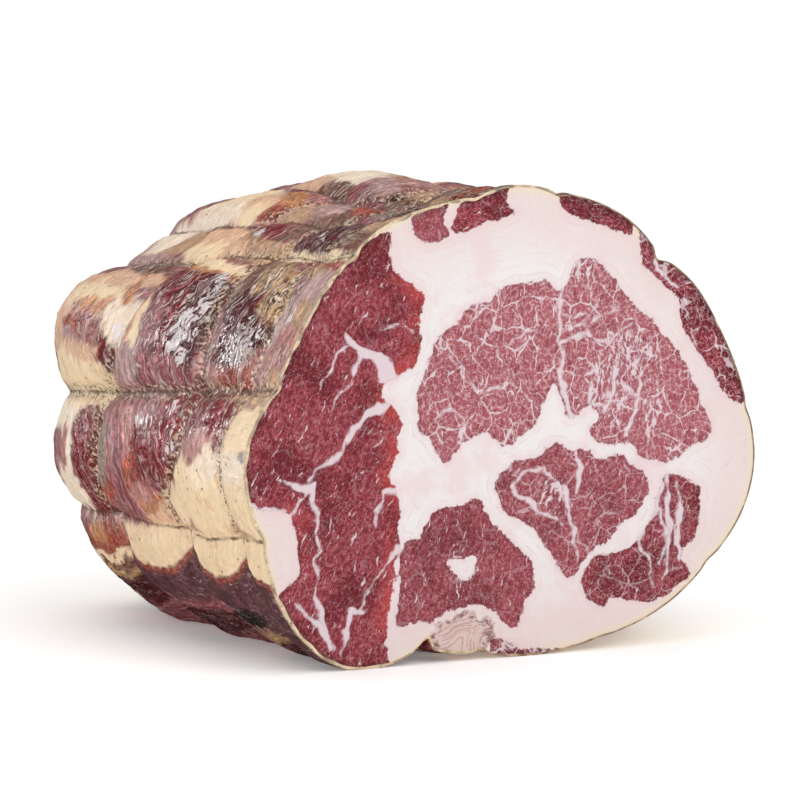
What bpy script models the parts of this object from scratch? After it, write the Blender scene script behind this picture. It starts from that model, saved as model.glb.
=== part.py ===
"""Cut half of a cured pork collar, rolled and tied into a lobed log, as one solid.

The meat lies on its side. The flat cut face looks along -Y, the closed, rounded end along +Y, and +Z is up.
It rests on flat spots at z = 0. Angles round the meat are in degrees, from +X towards +Z, seen from the cut face.
A station is a distance in millimetres from the cut face, measured along the skin.
"""
import math

import bmesh
import bpy
import numpy as np

NAME = "cured_collar"
MM = 0.001

# The whole log, in millimetres.
STRAIGHT_LENGTH = 67.0
END_LENGTH = 69.0
END_POWER = 2.43
HALF_WIDTH = 61.0
HALF_HEIGHT = 51.0
SECTION_POWER = 2.48
SWELL = 0.04
SIDE_DRIFT = -1.7
END_SAG = 4.7
REST_DEPTH = 48.5
BLEND_LENGTH = 56.0

# Edge of the cut face: angle and distance from the middle of the face, without the grooves.
CUT_EDGE = (
    (3, 62), (16, 59), (29, 56.5), (42, 55), (55, 53.5), (68, 52), (84, 51), (100, 49), (117, 49.5),
    (133, 51), (147, 50.5), (160, 51.5), (174, 56.5), (188, 59), (203, 61), (217, 61.5), (229, 61.5), (238, 59),
    (248, 53), (260, 50), (275, 49), (290, 50.5), (304, 54), (318, 58), (332, 62), (347, 65),
)
CUT_EDGE_WAVES = 9

# Grooves that run along the meat: angle at the cut, 28 mm in, and 56 mm in and beyond,
# then the depth at the cut and the depth from 28 mm on.
STRAIGHT_GROOVES = (
    (2, 1, 0, 1.0, 2.6),
    (42, 38, 34, 3.4, 3.0),
    (74, 78, 78, 1.6, 2.2),
    (97, 110, 108, 1.2, 3.4),
    (115, 124, 129, 0.0, 3.0),
    (134, 137, 143, 1.2, 3.6),
    (170, 172, 174, 2.4, 4.4),
    (201, 203, 200, 1.6, 3.2),
    (224, 224, 222, 0.2, 1.0),
    (248, 248, 247, 7.0, 3.4),
    (264, 267, 271, 2.2, 2.4),
    (298, 298, 296, 0.4, 2.2),
    (329, 328, 325, 1.0, 2.6),
)
GROOVE_STATIONS = (0.0, 28.0, 56.0)

# Grooves that run round the meat: their depth, then pairs of angle and station.
RING_GROOVES = (
    (1.7, ((0, 10), (100, 8), (143, 14), (165, 11), (180, 13), (195, 12), (222, 10), (300, 10))),
    (2.4, ((0, 28), (112, 19), (143, 30), (160, 29), (175, 30), (185, 31), (195, 39), (205, 37),
           (220, 34), (300, 29))),
    (3.2, ((0, 55), (60, 43), (88, 29), (102, 28), (112, 38), (120, 44), (142, 52), (155, 55),
           (168, 64), (178, 70), (190, 71), (197, 73), (205, 68), (220, 70), (260, 62), (320, 58))),
    (2.4, ((0, 109), (90, 102), (180, 115), (270, 107))),
)

# Lobes that stand out or lie low: angle, station, half-width in degrees, half-length and height.
LOBES = (
    (158, 89, 12, 30, 3.4),
    (136, 73, 10, 30, -5.0),
    (119, 68, 8, 24, -1.2),
    (100, 51, 12, 16, 1.2),
    (184, 94, 10, 24, 1.0),
)

# Cross-section of every groove: a narrow crease in a broad, soft valley.
CREASE_SHARE = 0.42
CREASE_WIDTH = 1.9
VALLEY_WIDTH = 8.0

# Skin gathered at the closed end.
GATHER_RADIUS = 10.0
GATHER_DEPTH = 5.0
PLEAT_COUNT = 17
PLEAT_HEIGHT = 0.7

# Mesh density: columns in each gap between straight grooves, and rows in each band between rings.
COLUMNS_PER_GAP = 8
FACE_ROWS = 3
BAND_ROWS = (4, 6, 8, 12, 9)
CLUSTERING = 0.55
PROFILE_SAMPLES = 600


def closed_wave(angle):
    """Distance to the edge of the cut face: a smooth closed curve through the named points."""
    def basis(degrees):
        turns = np.radians(np.asarray(degrees, float))[..., None] * np.arange(1, CUT_EDGE_WAVES + 1)
        return np.concatenate([np.ones(turns.shape[:-1] + (1,)), np.cos(turns), np.sin(turns)], axis=-1)
    named = np.array(CUT_EDGE, float)
    weights = np.linalg.lstsq(basis(named[:, 0]), named[:, 1], rcond=None)[0]
    return basis(angle) @ weights


def end_profile():
    """Station, distance along the axis and radius share, from the cut face to the tip of the closed end."""
    turn = np.linspace(0.0, math.pi / 2, PROFILE_SAMPLES)
    axis = STRAIGHT_LENGTH + END_LENGTH * np.sin(turn) ** (2.0 / END_POWER)
    share = np.clip(np.cos(turn), 0.0, 1.0) ** (2.0 / END_POWER)
    share[-1] = 0.0
    axis = np.concatenate([[0.0], axis])
    share = np.concatenate([[1.0], share])
    mean_radius = (HALF_WIDTH + HALF_HEIGHT) / 2
    step = np.hypot(np.diff(axis), np.diff(share) * mean_radius)
    station = np.concatenate([[0.0], np.cumsum(step)])
    return station, axis, share


PROFILE = end_profile()
TIP_STATION = float(PROFILE[0][-1])


def bare_radius(angle, axis):
    """Radius of the log without grooves, as the cut edge passes into an even, squarish oval."""
    turn = np.radians(angle)
    oval = (np.abs(np.cos(turn) / HALF_WIDTH) ** SECTION_POWER
            + np.abs(np.sin(turn) / HALF_HEIGHT) ** SECTION_POWER) ** (-1.0 / SECTION_POWER)
    blend = np.clip(axis / BLEND_LENGTH, 0.0, 1.0)
    blend = blend * blend * (3.0 - 2.0 * blend)
    swell = 1.0 + SWELL * np.sin(math.pi * axis / (STRAIGHT_LENGTH + END_LENGTH))
    return (closed_wave(angle) * (1.0 - blend) + oval * blend) * swell


def straight_angle(groove, station):
    """Angle at which a straight groove lies at a station."""
    return np.interp(station, GROOVE_STATIONS, groove[:3])


def ring_station(ring, angle):
    """Station at which a ring groove lies at an angle."""
    named = np.array(ring[1], float)
    return np.interp(angle, named[:, 0], named[:, 1], period=360.0)


def groove_section(distance):
    """Share of a groove's depth at a distance from its line."""
    crease = np.exp(-(distance / CREASE_WIDTH) ** 2)
    valley = np.exp(-(distance / VALLEY_WIDTH) ** 2)
    return CREASE_SHARE * crease + (1.0 - CREASE_SHARE) * valley


def groove_depth(angle, station, radius, share):
    """Depth to which the ties have pressed the meat in at each place."""
    depth = np.zeros_like(radius)
    for groove in STRAIGHT_GROOVES:
        offset = (angle - straight_angle(groove, station) + 180.0) % 360.0 - 180.0
        deepest = np.interp(station, GROOVE_STATIONS[:2], groove[3:])
        depth += deepest * np.sqrt(share) * groove_section(np.radians(offset) * radius * share)
    for ring in RING_GROOVES:
        away_from_cut = np.clip(station / ring_station(ring, angle), 0.0, 1.0)
        depth += ring[0] * away_from_cut * groove_section(station - ring_station(ring, angle))
    return depth


def lobe_height(angle, station):
    """How far single lobes stand out from the even log."""
    height = np.zeros_like(station)
    for middle, middle_station, half_width, half_length, peak in LOBES:
        across = ((angle - middle + 180.0) % 360.0 - 180.0) / half_width
        along = (station - middle_station) / half_length
        height += peak * np.exp(-across ** 2 - along ** 2)
    return height


def skin_point(angle, station):
    """Points of the skin, in millimetres, from the middle of the cut face: right, back and up."""
    angle, station = np.broadcast_arrays(np.asarray(angle, float), np.asarray(station, float))
    axis = np.interp(station, PROFILE[0], PROFILE[1])
    share = np.interp(station, PROFILE[0], PROFILE[2])
    ahead = np.minimum(station + 1.0, TIP_STATION)
    behind = np.minimum(station, TIP_STATION - 1.0)
    rise = np.interp(ahead, PROFILE[0], PROFILE[1]) - np.interp(behind, PROFILE[0], PROFILE[1])
    shrink = np.interp(behind, PROFILE[0], PROFILE[2]) - np.interp(ahead, PROFILE[0], PROFILE[2])
    radius = bare_radius(angle, axis)
    slope = np.arctan2(shrink * radius, rise)
    depth = groove_depth(angle, station, radius, share) - lobe_height(angle, station)
    to_tip = TIP_STATION - station
    gather = np.exp(-(to_tip / GATHER_RADIUS) ** 2)
    pleats = np.sin(np.radians(angle) * PLEAT_COUNT) * PLEAT_HEIGHT
    depth += GATHER_DEPTH * gather
    depth += pleats * np.exp(-((to_tip - GATHER_RADIUS) / GATHER_RADIUS) ** 2)
    turn = np.radians(angle)
    reach = radius * share - depth * np.cos(slope)
    whole = axis / (STRAIGHT_LENGTH + END_LENGTH)
    right = SIDE_DRIFT * whole + reach * np.cos(turn)
    back = axis - depth * np.sin(slope)
    up = reach * np.sin(turn) - END_SAG * whole ** 2
    return np.stack([right, back, np.maximum(up, -REST_DEPTH)], axis=-1)


def clustered(count):
    """Shares of a gap, from 0 to just under 1, closer together at both ends."""
    even = np.arange(count) / count
    bunched = (1.0 - np.cos(math.pi * even)) / 2.0
    return even + CLUSTERING * (bunched - even)


def grid_angles(station):
    """Angle of every column at a station: columns follow the straight grooves."""
    lines = [float(straight_angle(groove, station)) for groove in STRAIGHT_GROOVES]
    lines.append(lines[0] + 360.0)
    angles = []
    for start, end in zip(lines[:-1], lines[1:]):
        angles.extend(start + (end - start) * clustered(COLUMNS_PER_GAP))
    return np.array(angles)


def side_rows():
    """Angles and stations of all skin points, row by row from the cut edge towards the tip."""
    middle = [0.0] + [float(np.mean([pair[1] for pair in ring[1]])) for ring in RING_GROOVES] + [TIP_STATION]
    rows = []
    for band, count in enumerate(BAND_ROWS):
        for share in clustered(count):
            near = middle[band] + (middle[band + 1] - middle[band]) * share
            angles = grid_angles(near)
            start = ring_station(RING_GROOVES[band - 1], angles) if band else 0.0
            last = band == len(RING_GROOVES)
            end = TIP_STATION if last else ring_station(RING_GROOVES[band], angles)
            rows.append((angles, start + (end - start) * share))
    return rows


def log_points():
    """All rows of the closed log: rings on the cut face, then rows along the skin."""
    rows = [skin_point(angles, stations) for angles, stations in side_rows()]
    cut_edge = rows[0]
    rings = [cut_edge * (ring / FACE_ROWS) for ring in range(1, FACE_ROWS)]
    face_middle = np.zeros((1, 3))
    tip = skin_point(np.array([0.0, 180.0]), TIP_STATION).mean(axis=0, keepdims=True)
    return [face_middle] + rings + rows + [tip]


def placed(rows):
    """The rows in metres, with the origin at the middle of the underside."""
    everything = np.concatenate(rows)
    low = everything.min(axis=0)
    high = everything.max(axis=0)
    origin = np.array([(low[0] + high[0]) / 2, (low[1] + high[1]) / 2, low[2]])
    return [(row - origin) * MM for row in rows]


def make_meat(collection):
    """The log: a sphere grid whose rows and columns are laid on the face, the skin and the closed end."""
    rows = placed(log_points())
    columns = COLUMNS_PER_GAP * len(STRAIGHT_GROOVES)
    last_row = len(rows) - 1
    grid = bmesh.new()
    bmesh.ops.create_uvsphere(grid, u_segments=columns, v_segments=last_row, radius=1.0)
    for vertex in grid.verts:
        polar = math.acos(max(-1.0, min(1.0, vertex.co.z)))
        row = round(polar / math.pi * last_row)
        column = round(math.atan2(vertex.co.y, vertex.co.x) / math.tau * columns) % columns
        line = rows[row]
        vertex.co = line[column % len(line)]
    soften(grid)
    mesh = bpy.data.meshes.new(NAME)
    grid.to_mesh(mesh)
    grid.free()
    mesh.materials.append(meat_material())
    meat = bpy.data.objects.new(NAME, mesh)
    collection.objects.link(meat)
    return meat


def soften(grid):
    """Smooth shading everywhere but across the edge of the cut."""
    front = min(vertex.co.y for vertex in grid.verts)
    for face in grid.faces:
        face.smooth = True
    for edge in grid.edges:
        on_face = [all(abs(vertex.co.y - front) < 0.01 * MM for vertex in face.verts) for face in edge.link_faces]
        edge.smooth = len(set(on_face)) == 1


def meat_material():
    """Deep red cured meat, slightly glossy."""
    material = bpy.data.materials.new("cured_meat")
    material.use_nodes = True
    shader = material.node_tree.nodes["Principled BSDF"]
    shader.inputs["Base Color"].default_value = (0.30, 0.055, 0.045, 1.0)
    shader.inputs["Roughness"].default_value = 0.45
    return material


def main():
    for thing in list(bpy.data.objects):
        bpy.data.objects.remove(thing, do_unlink=True)
    collection = bpy.data.collections.new(NAME)
    bpy.context.scene.collection.children.link(collection)
    make_meat(collection)


main()
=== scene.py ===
"""Looks of the cut half of a cured pork collar: its dried, net-marked skin and its marbled cut face.

Angles round the meat are in degrees, from +X towards +Z, seen from the cut face. A station is a distance
in millimetres from the cut face, measured along the skin. Places on the cut face are right and up, in
millimetres from its middle.
"""
import math
import random
from types import SimpleNamespace

import bpy
import numpy as np
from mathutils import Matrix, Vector, noise


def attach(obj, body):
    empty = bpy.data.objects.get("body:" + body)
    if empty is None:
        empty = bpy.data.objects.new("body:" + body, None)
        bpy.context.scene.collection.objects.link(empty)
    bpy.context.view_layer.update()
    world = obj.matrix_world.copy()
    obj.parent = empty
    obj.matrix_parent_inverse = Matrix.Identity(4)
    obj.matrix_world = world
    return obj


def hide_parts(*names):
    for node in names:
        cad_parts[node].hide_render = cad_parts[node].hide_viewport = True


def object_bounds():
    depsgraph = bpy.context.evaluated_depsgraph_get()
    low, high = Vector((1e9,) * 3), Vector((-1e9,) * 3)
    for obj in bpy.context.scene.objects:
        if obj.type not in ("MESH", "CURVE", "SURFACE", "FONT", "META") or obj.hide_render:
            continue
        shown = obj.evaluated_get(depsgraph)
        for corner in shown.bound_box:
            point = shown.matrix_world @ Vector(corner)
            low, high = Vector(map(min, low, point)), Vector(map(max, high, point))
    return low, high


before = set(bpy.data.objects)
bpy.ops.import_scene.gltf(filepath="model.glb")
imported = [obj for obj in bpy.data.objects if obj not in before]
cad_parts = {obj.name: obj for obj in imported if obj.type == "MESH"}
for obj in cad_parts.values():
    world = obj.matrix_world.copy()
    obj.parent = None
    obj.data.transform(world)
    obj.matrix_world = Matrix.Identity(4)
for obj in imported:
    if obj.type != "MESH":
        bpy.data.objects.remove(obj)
CAD_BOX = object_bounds()

MM = 0.001

# The whole log, in millimetres.
STRAIGHT_LENGTH = 67.0
END_LENGTH = 69.0
END_POWER = 2.43
HALF_WIDTH = 61.0
HALF_HEIGHT = 51.0
SECTION_POWER = 2.48
SWELL = 0.04
SIDE_DRIFT = -1.7
END_SAG = 4.7
REST_DEPTH = 48.5
BLEND_LENGTH = 56.0

# Edge of the cut face: angle and distance from the middle of the face, without the grooves.
CUT_EDGE = (
    (3, 62), (16, 59), (29, 56.5), (42, 55), (55, 53.5), (68, 52), (84, 51), (100, 49), (117, 49.5),
    (133, 51), (147, 50.5), (160, 51.5), (174, 56.5), (188, 59), (203, 61), (217, 61.5), (229, 61.5),
    (238, 59), (248, 53), (260, 50), (275, 49), (290, 50.5), (304, 54), (318, 58), (332, 62), (347, 65),
)
CUT_EDGE_WAVES = 9

# Grooves that run along the meat: angle at the cut, 28 mm in, and 56 mm in and beyond,
# then the depth at the cut and the depth from 28 mm on.
STRAIGHT_GROOVES = (
    (2, 1, 0, 1.0, 2.6),
    (42, 38, 34, 3.4, 3.0),
    (74, 78, 78, 1.6, 2.2),
    (97, 110, 108, 1.2, 3.4),
    (115, 124, 129, 0.0, 3.0),
    (134, 137, 143, 1.2, 3.6),
    (170, 172, 174, 2.4, 4.4),
    (201, 203, 200, 1.6, 3.2),
    (224, 224, 222, 0.2, 1.0),
    (248, 248, 247, 7.0, 3.4),
    (264, 267, 271, 2.2, 2.4),
    (298, 298, 296, 0.4, 2.2),
    (329, 328, 325, 1.0, 2.6),
)
GROOVE_STATIONS = (0.0, 28.0, 56.0)

# Grooves that run round the meat: their depth, then pairs of angle and station.
RING_GROOVES = (
    (1.7, ((0, 10), (100, 8), (143, 14), (165, 11), (180, 13), (195, 12), (222, 10), (300, 10))),
    (2.4, ((0, 28), (112, 19), (143, 30), (160, 29), (175, 30), (185, 31), (195, 39), (205, 37),
           (220, 34), (300, 29))),
    (3.2, ((0, 55), (60, 43), (88, 29), (102, 28), (112, 38), (120, 44), (142, 52), (155, 55),
           (168, 64), (178, 70), (190, 71), (197, 73), (205, 68), (220, 70), (260, 62), (320, 58))),
    (2.4, ((0, 109), (90, 102), (180, 115), (270, 107))),
)

# Lobes that stand out or lie low: angle, station, half-width in degrees, half-length and height.
LOBES = (
    (158, 89, 12, 30, 3.4),
    (136, 73, 10, 30, -5.0),
    (119, 68, 8, 24, -1.2),
    (100, 51, 12, 16, 1.2),
    (184, 94, 10, 24, 1.0),
)

# Cross-section of every groove: a narrow crease in a broad, soft valley.
CREASE_SHARE = 0.42
CREASE_WIDTH = 1.9
VALLEY_WIDTH = 8.0

# Skin gathered at the closed end.
GATHER_RADIUS = 10.0
GATHER_DEPTH = 5.0
PLEAT_COUNT = 17
PLEAT_HEIGHT = 0.7
PROFILE_SAMPLES = 600

# Fine meshes: columns and rows of the skin, and the spacing of points on the cut face.
SKIN_COLUMNS = 560
SKIN_ROWS = 165
FACE_SPACING = 0.43
DENSE_ANGLE = 168.0
DENSE_SPREAD = 62.0

# Brightness of the studio's white surroundings.
SKY_AT_HORIZON = 0.14
SKY_OVERHEAD = 1.28
SKY_IN_GLOSS = 0.14
FLOOR_GLOW = 0.16

# Camera at the photograph's viewing angle.
CAMERA_AZIMUTH = -28.0
CAMERA_ELEVATION = 4.0
CAMERA_DISTANCE = 611.0
CAMERA_TARGET = (-23.8, 6.4)
FOCAL_PIXELS = 2990.0
FRAME_PIXELS = 800.0
SENSOR_WIDTH = 36.0


def closed_wave(angle):
    """Distance to the edge of the cut face: a smooth closed curve through the named points."""
    def basis(degrees):
        turns = np.radians(np.asarray(degrees, float))[..., None] * np.arange(1, CUT_EDGE_WAVES + 1)
        return np.concatenate([np.ones(turns.shape[:-1] + (1,)), np.cos(turns), np.sin(turns)], axis=-1)
    named = np.array(CUT_EDGE, float)
    weights = np.linalg.lstsq(basis(named[:, 0]), named[:, 1], rcond=None)[0]
    return basis(angle) @ weights


def end_profile():
    """Station, distance along the axis and radius share, from the cut face to the tip of the closed end."""
    turn = np.linspace(0.0, math.pi / 2, PROFILE_SAMPLES)
    axis = STRAIGHT_LENGTH + END_LENGTH * np.sin(turn) ** (2.0 / END_POWER)
    share = np.clip(np.cos(turn), 0.0, 1.0) ** (2.0 / END_POWER)
    share[-1] = 0.0
    axis = np.concatenate([[0.0], axis])
    share = np.concatenate([[1.0], share])
    mean_radius = (HALF_WIDTH + HALF_HEIGHT) / 2
    step = np.hypot(np.diff(axis), np.diff(share) * mean_radius)
    station = np.concatenate([[0.0], np.cumsum(step)])
    return station, axis, share


PROFILE = end_profile()
TIP_STATION = float(PROFILE[0][-1])


def bare_radius(angle, axis):
    """Radius of the log without grooves, as the cut edge passes into an even, squarish oval."""
    turn = np.radians(angle)
    oval = (np.abs(np.cos(turn) / HALF_WIDTH) ** SECTION_POWER
            + np.abs(np.sin(turn) / HALF_HEIGHT) ** SECTION_POWER) ** (-1.0 / SECTION_POWER)
    blend = np.clip(axis / BLEND_LENGTH, 0.0, 1.0)
    blend = blend * blend * (3.0 - 2.0 * blend)
    swell = 1.0 + SWELL * np.sin(math.pi * axis / (STRAIGHT_LENGTH + END_LENGTH))
    return (closed_wave(angle) * (1.0 - blend) + oval * blend) * swell


def straight_angle(groove, station):
    """Angle at which a straight groove lies at a station."""
    return np.interp(station, GROOVE_STATIONS, groove[:3])


def ring_station(ring, angle):
    """Station at which a ring groove lies at an angle."""
    named = np.array(ring[1], float)
    return np.interp(angle, named[:, 0], named[:, 1], period=360.0)


def wrapped(degrees):
    """Angle difference between -180 and 180 degrees."""
    return (degrees + 180.0) % 360.0 - 180.0


def groove_section(distance):
    """Share of a groove's depth at a distance from its line."""
    crease = np.exp(-(distance / CREASE_WIDTH) ** 2)
    valley = np.exp(-(distance / VALLEY_WIDTH) ** 2)
    return CREASE_SHARE * crease + (1.0 - CREASE_SHARE) * valley


def groove_depth(angle, station, radius, share):
    """Depth to which the ties have pressed the meat in at each place."""
    depth = np.zeros_like(radius)
    for groove in STRAIGHT_GROOVES:
        offset = wrapped(angle - straight_angle(groove, station))
        deepest = np.interp(station, GROOVE_STATIONS[:2], groove[3:])
        depth += deepest * np.sqrt(share) * groove_section(np.radians(offset) * radius * share)
    for ring in RING_GROOVES:
        away_from_cut = np.clip(station / ring_station(ring, angle), 0.0, 1.0)
        depth += ring[0] * away_from_cut * groove_section(station - ring_station(ring, angle))
    return depth


def lobe_height(angle, station):
    """How far single lobes stand out from the even log."""
    height = np.zeros_like(station)
    for middle, middle_station, half_width, half_length, peak in LOBES:
        across = wrapped(angle - middle) / half_width
        along = (station - middle_station) / half_length
        height += peak * np.exp(-across ** 2 - along ** 2)
    return height


def skin_point(angle, station, raised=0.0):
    """Points of the skin, in millimetres, from the middle of the cut face: right, back and up."""
    angle, station = np.broadcast_arrays(np.asarray(angle, float), np.asarray(station, float))
    axis = np.interp(station, PROFILE[0], PROFILE[1])
    share = np.interp(station, PROFILE[0], PROFILE[2])
    ahead = np.minimum(station + 1.0, TIP_STATION)
    behind = np.minimum(station, TIP_STATION - 1.0)
    rise = np.interp(ahead, PROFILE[0], PROFILE[1]) - np.interp(behind, PROFILE[0], PROFILE[1])
    shrink = np.interp(behind, PROFILE[0], PROFILE[2]) - np.interp(ahead, PROFILE[0], PROFILE[2])
    radius = bare_radius(angle, axis)
    slope = np.arctan2(shrink * radius, rise)
    depth = groove_depth(angle, station, radius, share) - lobe_height(angle, station) - raised
    to_tip = TIP_STATION - station
    gather = np.exp(-(to_tip / GATHER_RADIUS) ** 2)
    pleats = np.sin(np.radians(angle) * PLEAT_COUNT) * PLEAT_HEIGHT
    depth += GATHER_DEPTH * gather
    depth += pleats * np.exp(-((to_tip - GATHER_RADIUS) / GATHER_RADIUS) ** 2)
    turn = np.radians(angle)
    reach = radius * share - depth * np.cos(slope)
    whole = axis / (STRAIGHT_LENGTH + END_LENGTH)
    right = SIDE_DRIFT * whole + reach * np.cos(turn)
    back = axis - depth * np.sin(slope)
    up = reach * np.sin(turn) - END_SAG * whole ** 2
    return np.stack([right, back, np.maximum(up, -REST_DEPTH)], axis=-1)


def face_middle():
    """Where the middle of the cut face lies in the part, in millimetres."""
    angle = np.linspace(0.0, 360.0, 721)
    station = np.linspace(0.0, TIP_STATION, 181)
    points = skin_point(angle[None, :], station[:, None]).reshape(-1, 3)
    middle = (points.min(axis=0) + points.max(axis=0)) / 2
    return np.array([-middle[0], CAD_BOX[0][1] / MM, REST_DEPTH])


FACE_MIDDLE = face_middle()


def smoothstep(low, high, value):
    """0 below low, 1 above high, and a soft rise between."""
    share = np.clip((value - low) / (high - low), 0.0, 1.0)
    return share * share * (3.0 - 2.0 * share)


def noise_at(points, octaves=1, seed=0.0):
    """Smooth noise, about -1 to 1, at points that are already scaled to its grain."""
    start = Vector((seed * 17.3, seed * 5.1, seed * 9.7))
    if octaves == 1:
        return np.array([noise.noise(Vector(point) + start) for point in points])
    return np.array([noise.fractal(Vector(point) + start, 0.9, 2.0, octaves) for point in points])


def add_field(mesh, name, values):
    """Stores one number for each vertex, for the material to read."""
    field = mesh.attributes.new(name, "FLOAT", "POINT")
    field.data.foreach_set("value", np.ascontiguousarray(values, np.float32).ravel())


def add_vector_field(mesh, name, values):
    """Stores one vector for each vertex, for the material to read."""
    field = mesh.attributes.new(name, "FLOAT_VECTOR", "POINT")
    field.data.foreach_set("vector", np.ascontiguousarray(values, np.float32).ravel())


def mesh_object(name, points, faces, material):
    """A smooth-shaded object in the part, from points in millimetres from the middle of the cut face."""
    mesh = bpy.data.meshes.new(name)
    mesh.from_pydata(((points + FACE_MIDDLE) * MM).tolist(), [], faces)
    mesh.shade_smooth()
    mesh.materials.append(material)
    piece = bpy.data.objects.new(name, mesh)
    bpy.context.scene.collection.objects.link(piece)
    return piece


# Skin

# The casing's cut edge: how far in and how proud each of its rows lies, then angles round the meat with its
# width and with how pale it is there.
SKIN_LIP = ((0.85, -0.12), (0.6, 0.12), (0.3, 0.20), (0.05, 0.10))
LIP_WIDTH = ((60, 100, 130, 230, 262, 290), (0.35, 0.75, 0.85, 0.8, 0.7, 0.35))
LIP_PALENESS = ((70, 95, 110, 240, 262, 290), (0.0, 1.0, 1.0, 1.0, 0.5, 0.0))
LIP_PALE = (0.82, 0.65, 0.43)
LIP_DARK = (0.30, 0.17, 0.09)
LIP_REACH = (0.1, 0.9)

# Relief of the skin: grain in millimetres, octaves, seed and height.
DENTS = (14.0, 2, 1.0, 0.7)
WRINKLES = (8.0, 2, 2.0, 0.22)
LUMPS = (3.4, 2, 9.0, 0.20)
WEAVE = (0.9, 1, 4.0, 0.30)
FOLD_STRETCH = (0.06, 0.06, 0.055)
FOLD_HEIGHT = 0.35
FADE_TO_REST = 3.0

# Slant of the wrinkles: angles round the meat and how far they lean there, in millimetres, then the station
# where the slant starts and the length over which it grows.
SLANT = ((0, 60, 130, 166, 200, 240, 360), (0, 14, 0, -24, -14, 0, 0))
SLANT_START = 10.0
SLANT_LENGTH = 62.0
GRAIN_STRETCH = 6.0

# The net's print: the deep grooves that carry it, counted from +X, and how many times narrower it is on each
# of them and on the first and third rings; the third ring's is wider. Then the angles where the third ring's
# print fades, the distances between which each print ends, and the angles between which the skin is plain.
PRINTED_GROOVES = (5, 6)
PRINT_NARROWER = (1.3, 1.1)
FIRST_RING_NARROWER = 1.6
THIRD_RING_NARROWER = 0.8
THIRD_RING_FADE = ((128, 140, 161, 167), (0, 3, 3, 0))
PRINT_WIDTH = (1.0, 3.0)
PLAIN_SKIN = (199.0, 206.0, 238.0, 250.0)
PLAIN_SHARE = 0.85

# How far the painted highlight on the fold beside the rings shows: angles round the meat and shares.
FOLD_HIGHLIGHT_SHARES = ((80, 95, 128, 140, 200, 208, 236, 250), (0.5, 1, 1, 0.4, 0.3, 1, 1, 0.5))

# Colours of the skin, linear, then how wet each looks, how much it is stippled, how much red shows through
# it and how strongly it is rippled, in relief and with lines of painted shade and painted highlight.
SKIN_COLOURS = {
    "crimson": ((0.250, 0.012, 0.022), 1.0, 0.0, 0.0, 0.85),
    "brick": ((0.450, 0.078, 0.042), 0.7, 0.1, 0.1, 0.6),
    "orange": ((0.660, 0.265, 0.100), 0.45, 0.1, 0.1, 0.35),
    "maroon": ((0.100, 0.012, 0.017), 0.9, 0.0, 0.0, 0.8),
    "plum": ((0.135, 0.050, 0.058), 0.55, 0.0, 0.1, 0.10),
    "film": ((0.440, 0.145, 0.155), 0.45, 0.0, 0.9, 0.65),
    "lilac": ((0.590, 0.355, 0.335), 0.35, 0.0, 0.4, 0.45),
    "pink": ((0.590, 0.235, 0.205), 0.45, 0.0, 0.5, 0.5),
    "ivory": ((0.900, 0.745, 0.590), 0.2, 0.0, 0.0, 0.12),
    "cream": ((0.895, 0.675, 0.425), 0.12, 0.0, 0.0, 0.12),
    "peach": ((0.830, 0.490, 0.310), 0.25, 0.0, 0.0, 0.3),
    "tan": ((0.630, 0.355, 0.190), 0.3, 0.2, 0.1, 0.6),
    "ochre": ((0.600, 0.325, 0.130), 0.35, 0.4, 0.0, 1.0),
    "brown": ((0.255, 0.095, 0.055), 0.5, 0.2, 0.3, 0.9),
    "grey": ((0.330, 0.230, 0.180), 0.3, 0.4, 0.1, 1.0),
    "slate": ((0.230, 0.230, 0.250), 0.3, 0.0, 0.0, 0.0),
    "black": ((0.026, 0.026, 0.020), 0.8, 0.0, 0.0, 0.1),
}

# White bloom on the wet red, part dry film, part painted highlight: angle, station, half-width in degrees and
# half-length.
BLOOM_AND_HIGHLIGHT_PATCHES = (
    (161, 36, 6.8, 4.0), (150.5, 33, 7.5, 2.0), (160.8, 17, 7.0, 4.6), (179, 45, 2.2, 3.4),
    (179, 15, 2.4, 1.0), (184, 34.5, 4, 1.1), (133, 38, 2.5, 2.0), (162, 60.5, 2.5, 2.2), (153, 8, 4, 1.4),
    (176, 35, 3, 0.9), (128, 18, 2.5, 1.0),
)
BLOOM_AND_HIGHLIGHT_SHARPNESS = 1.3

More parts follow.
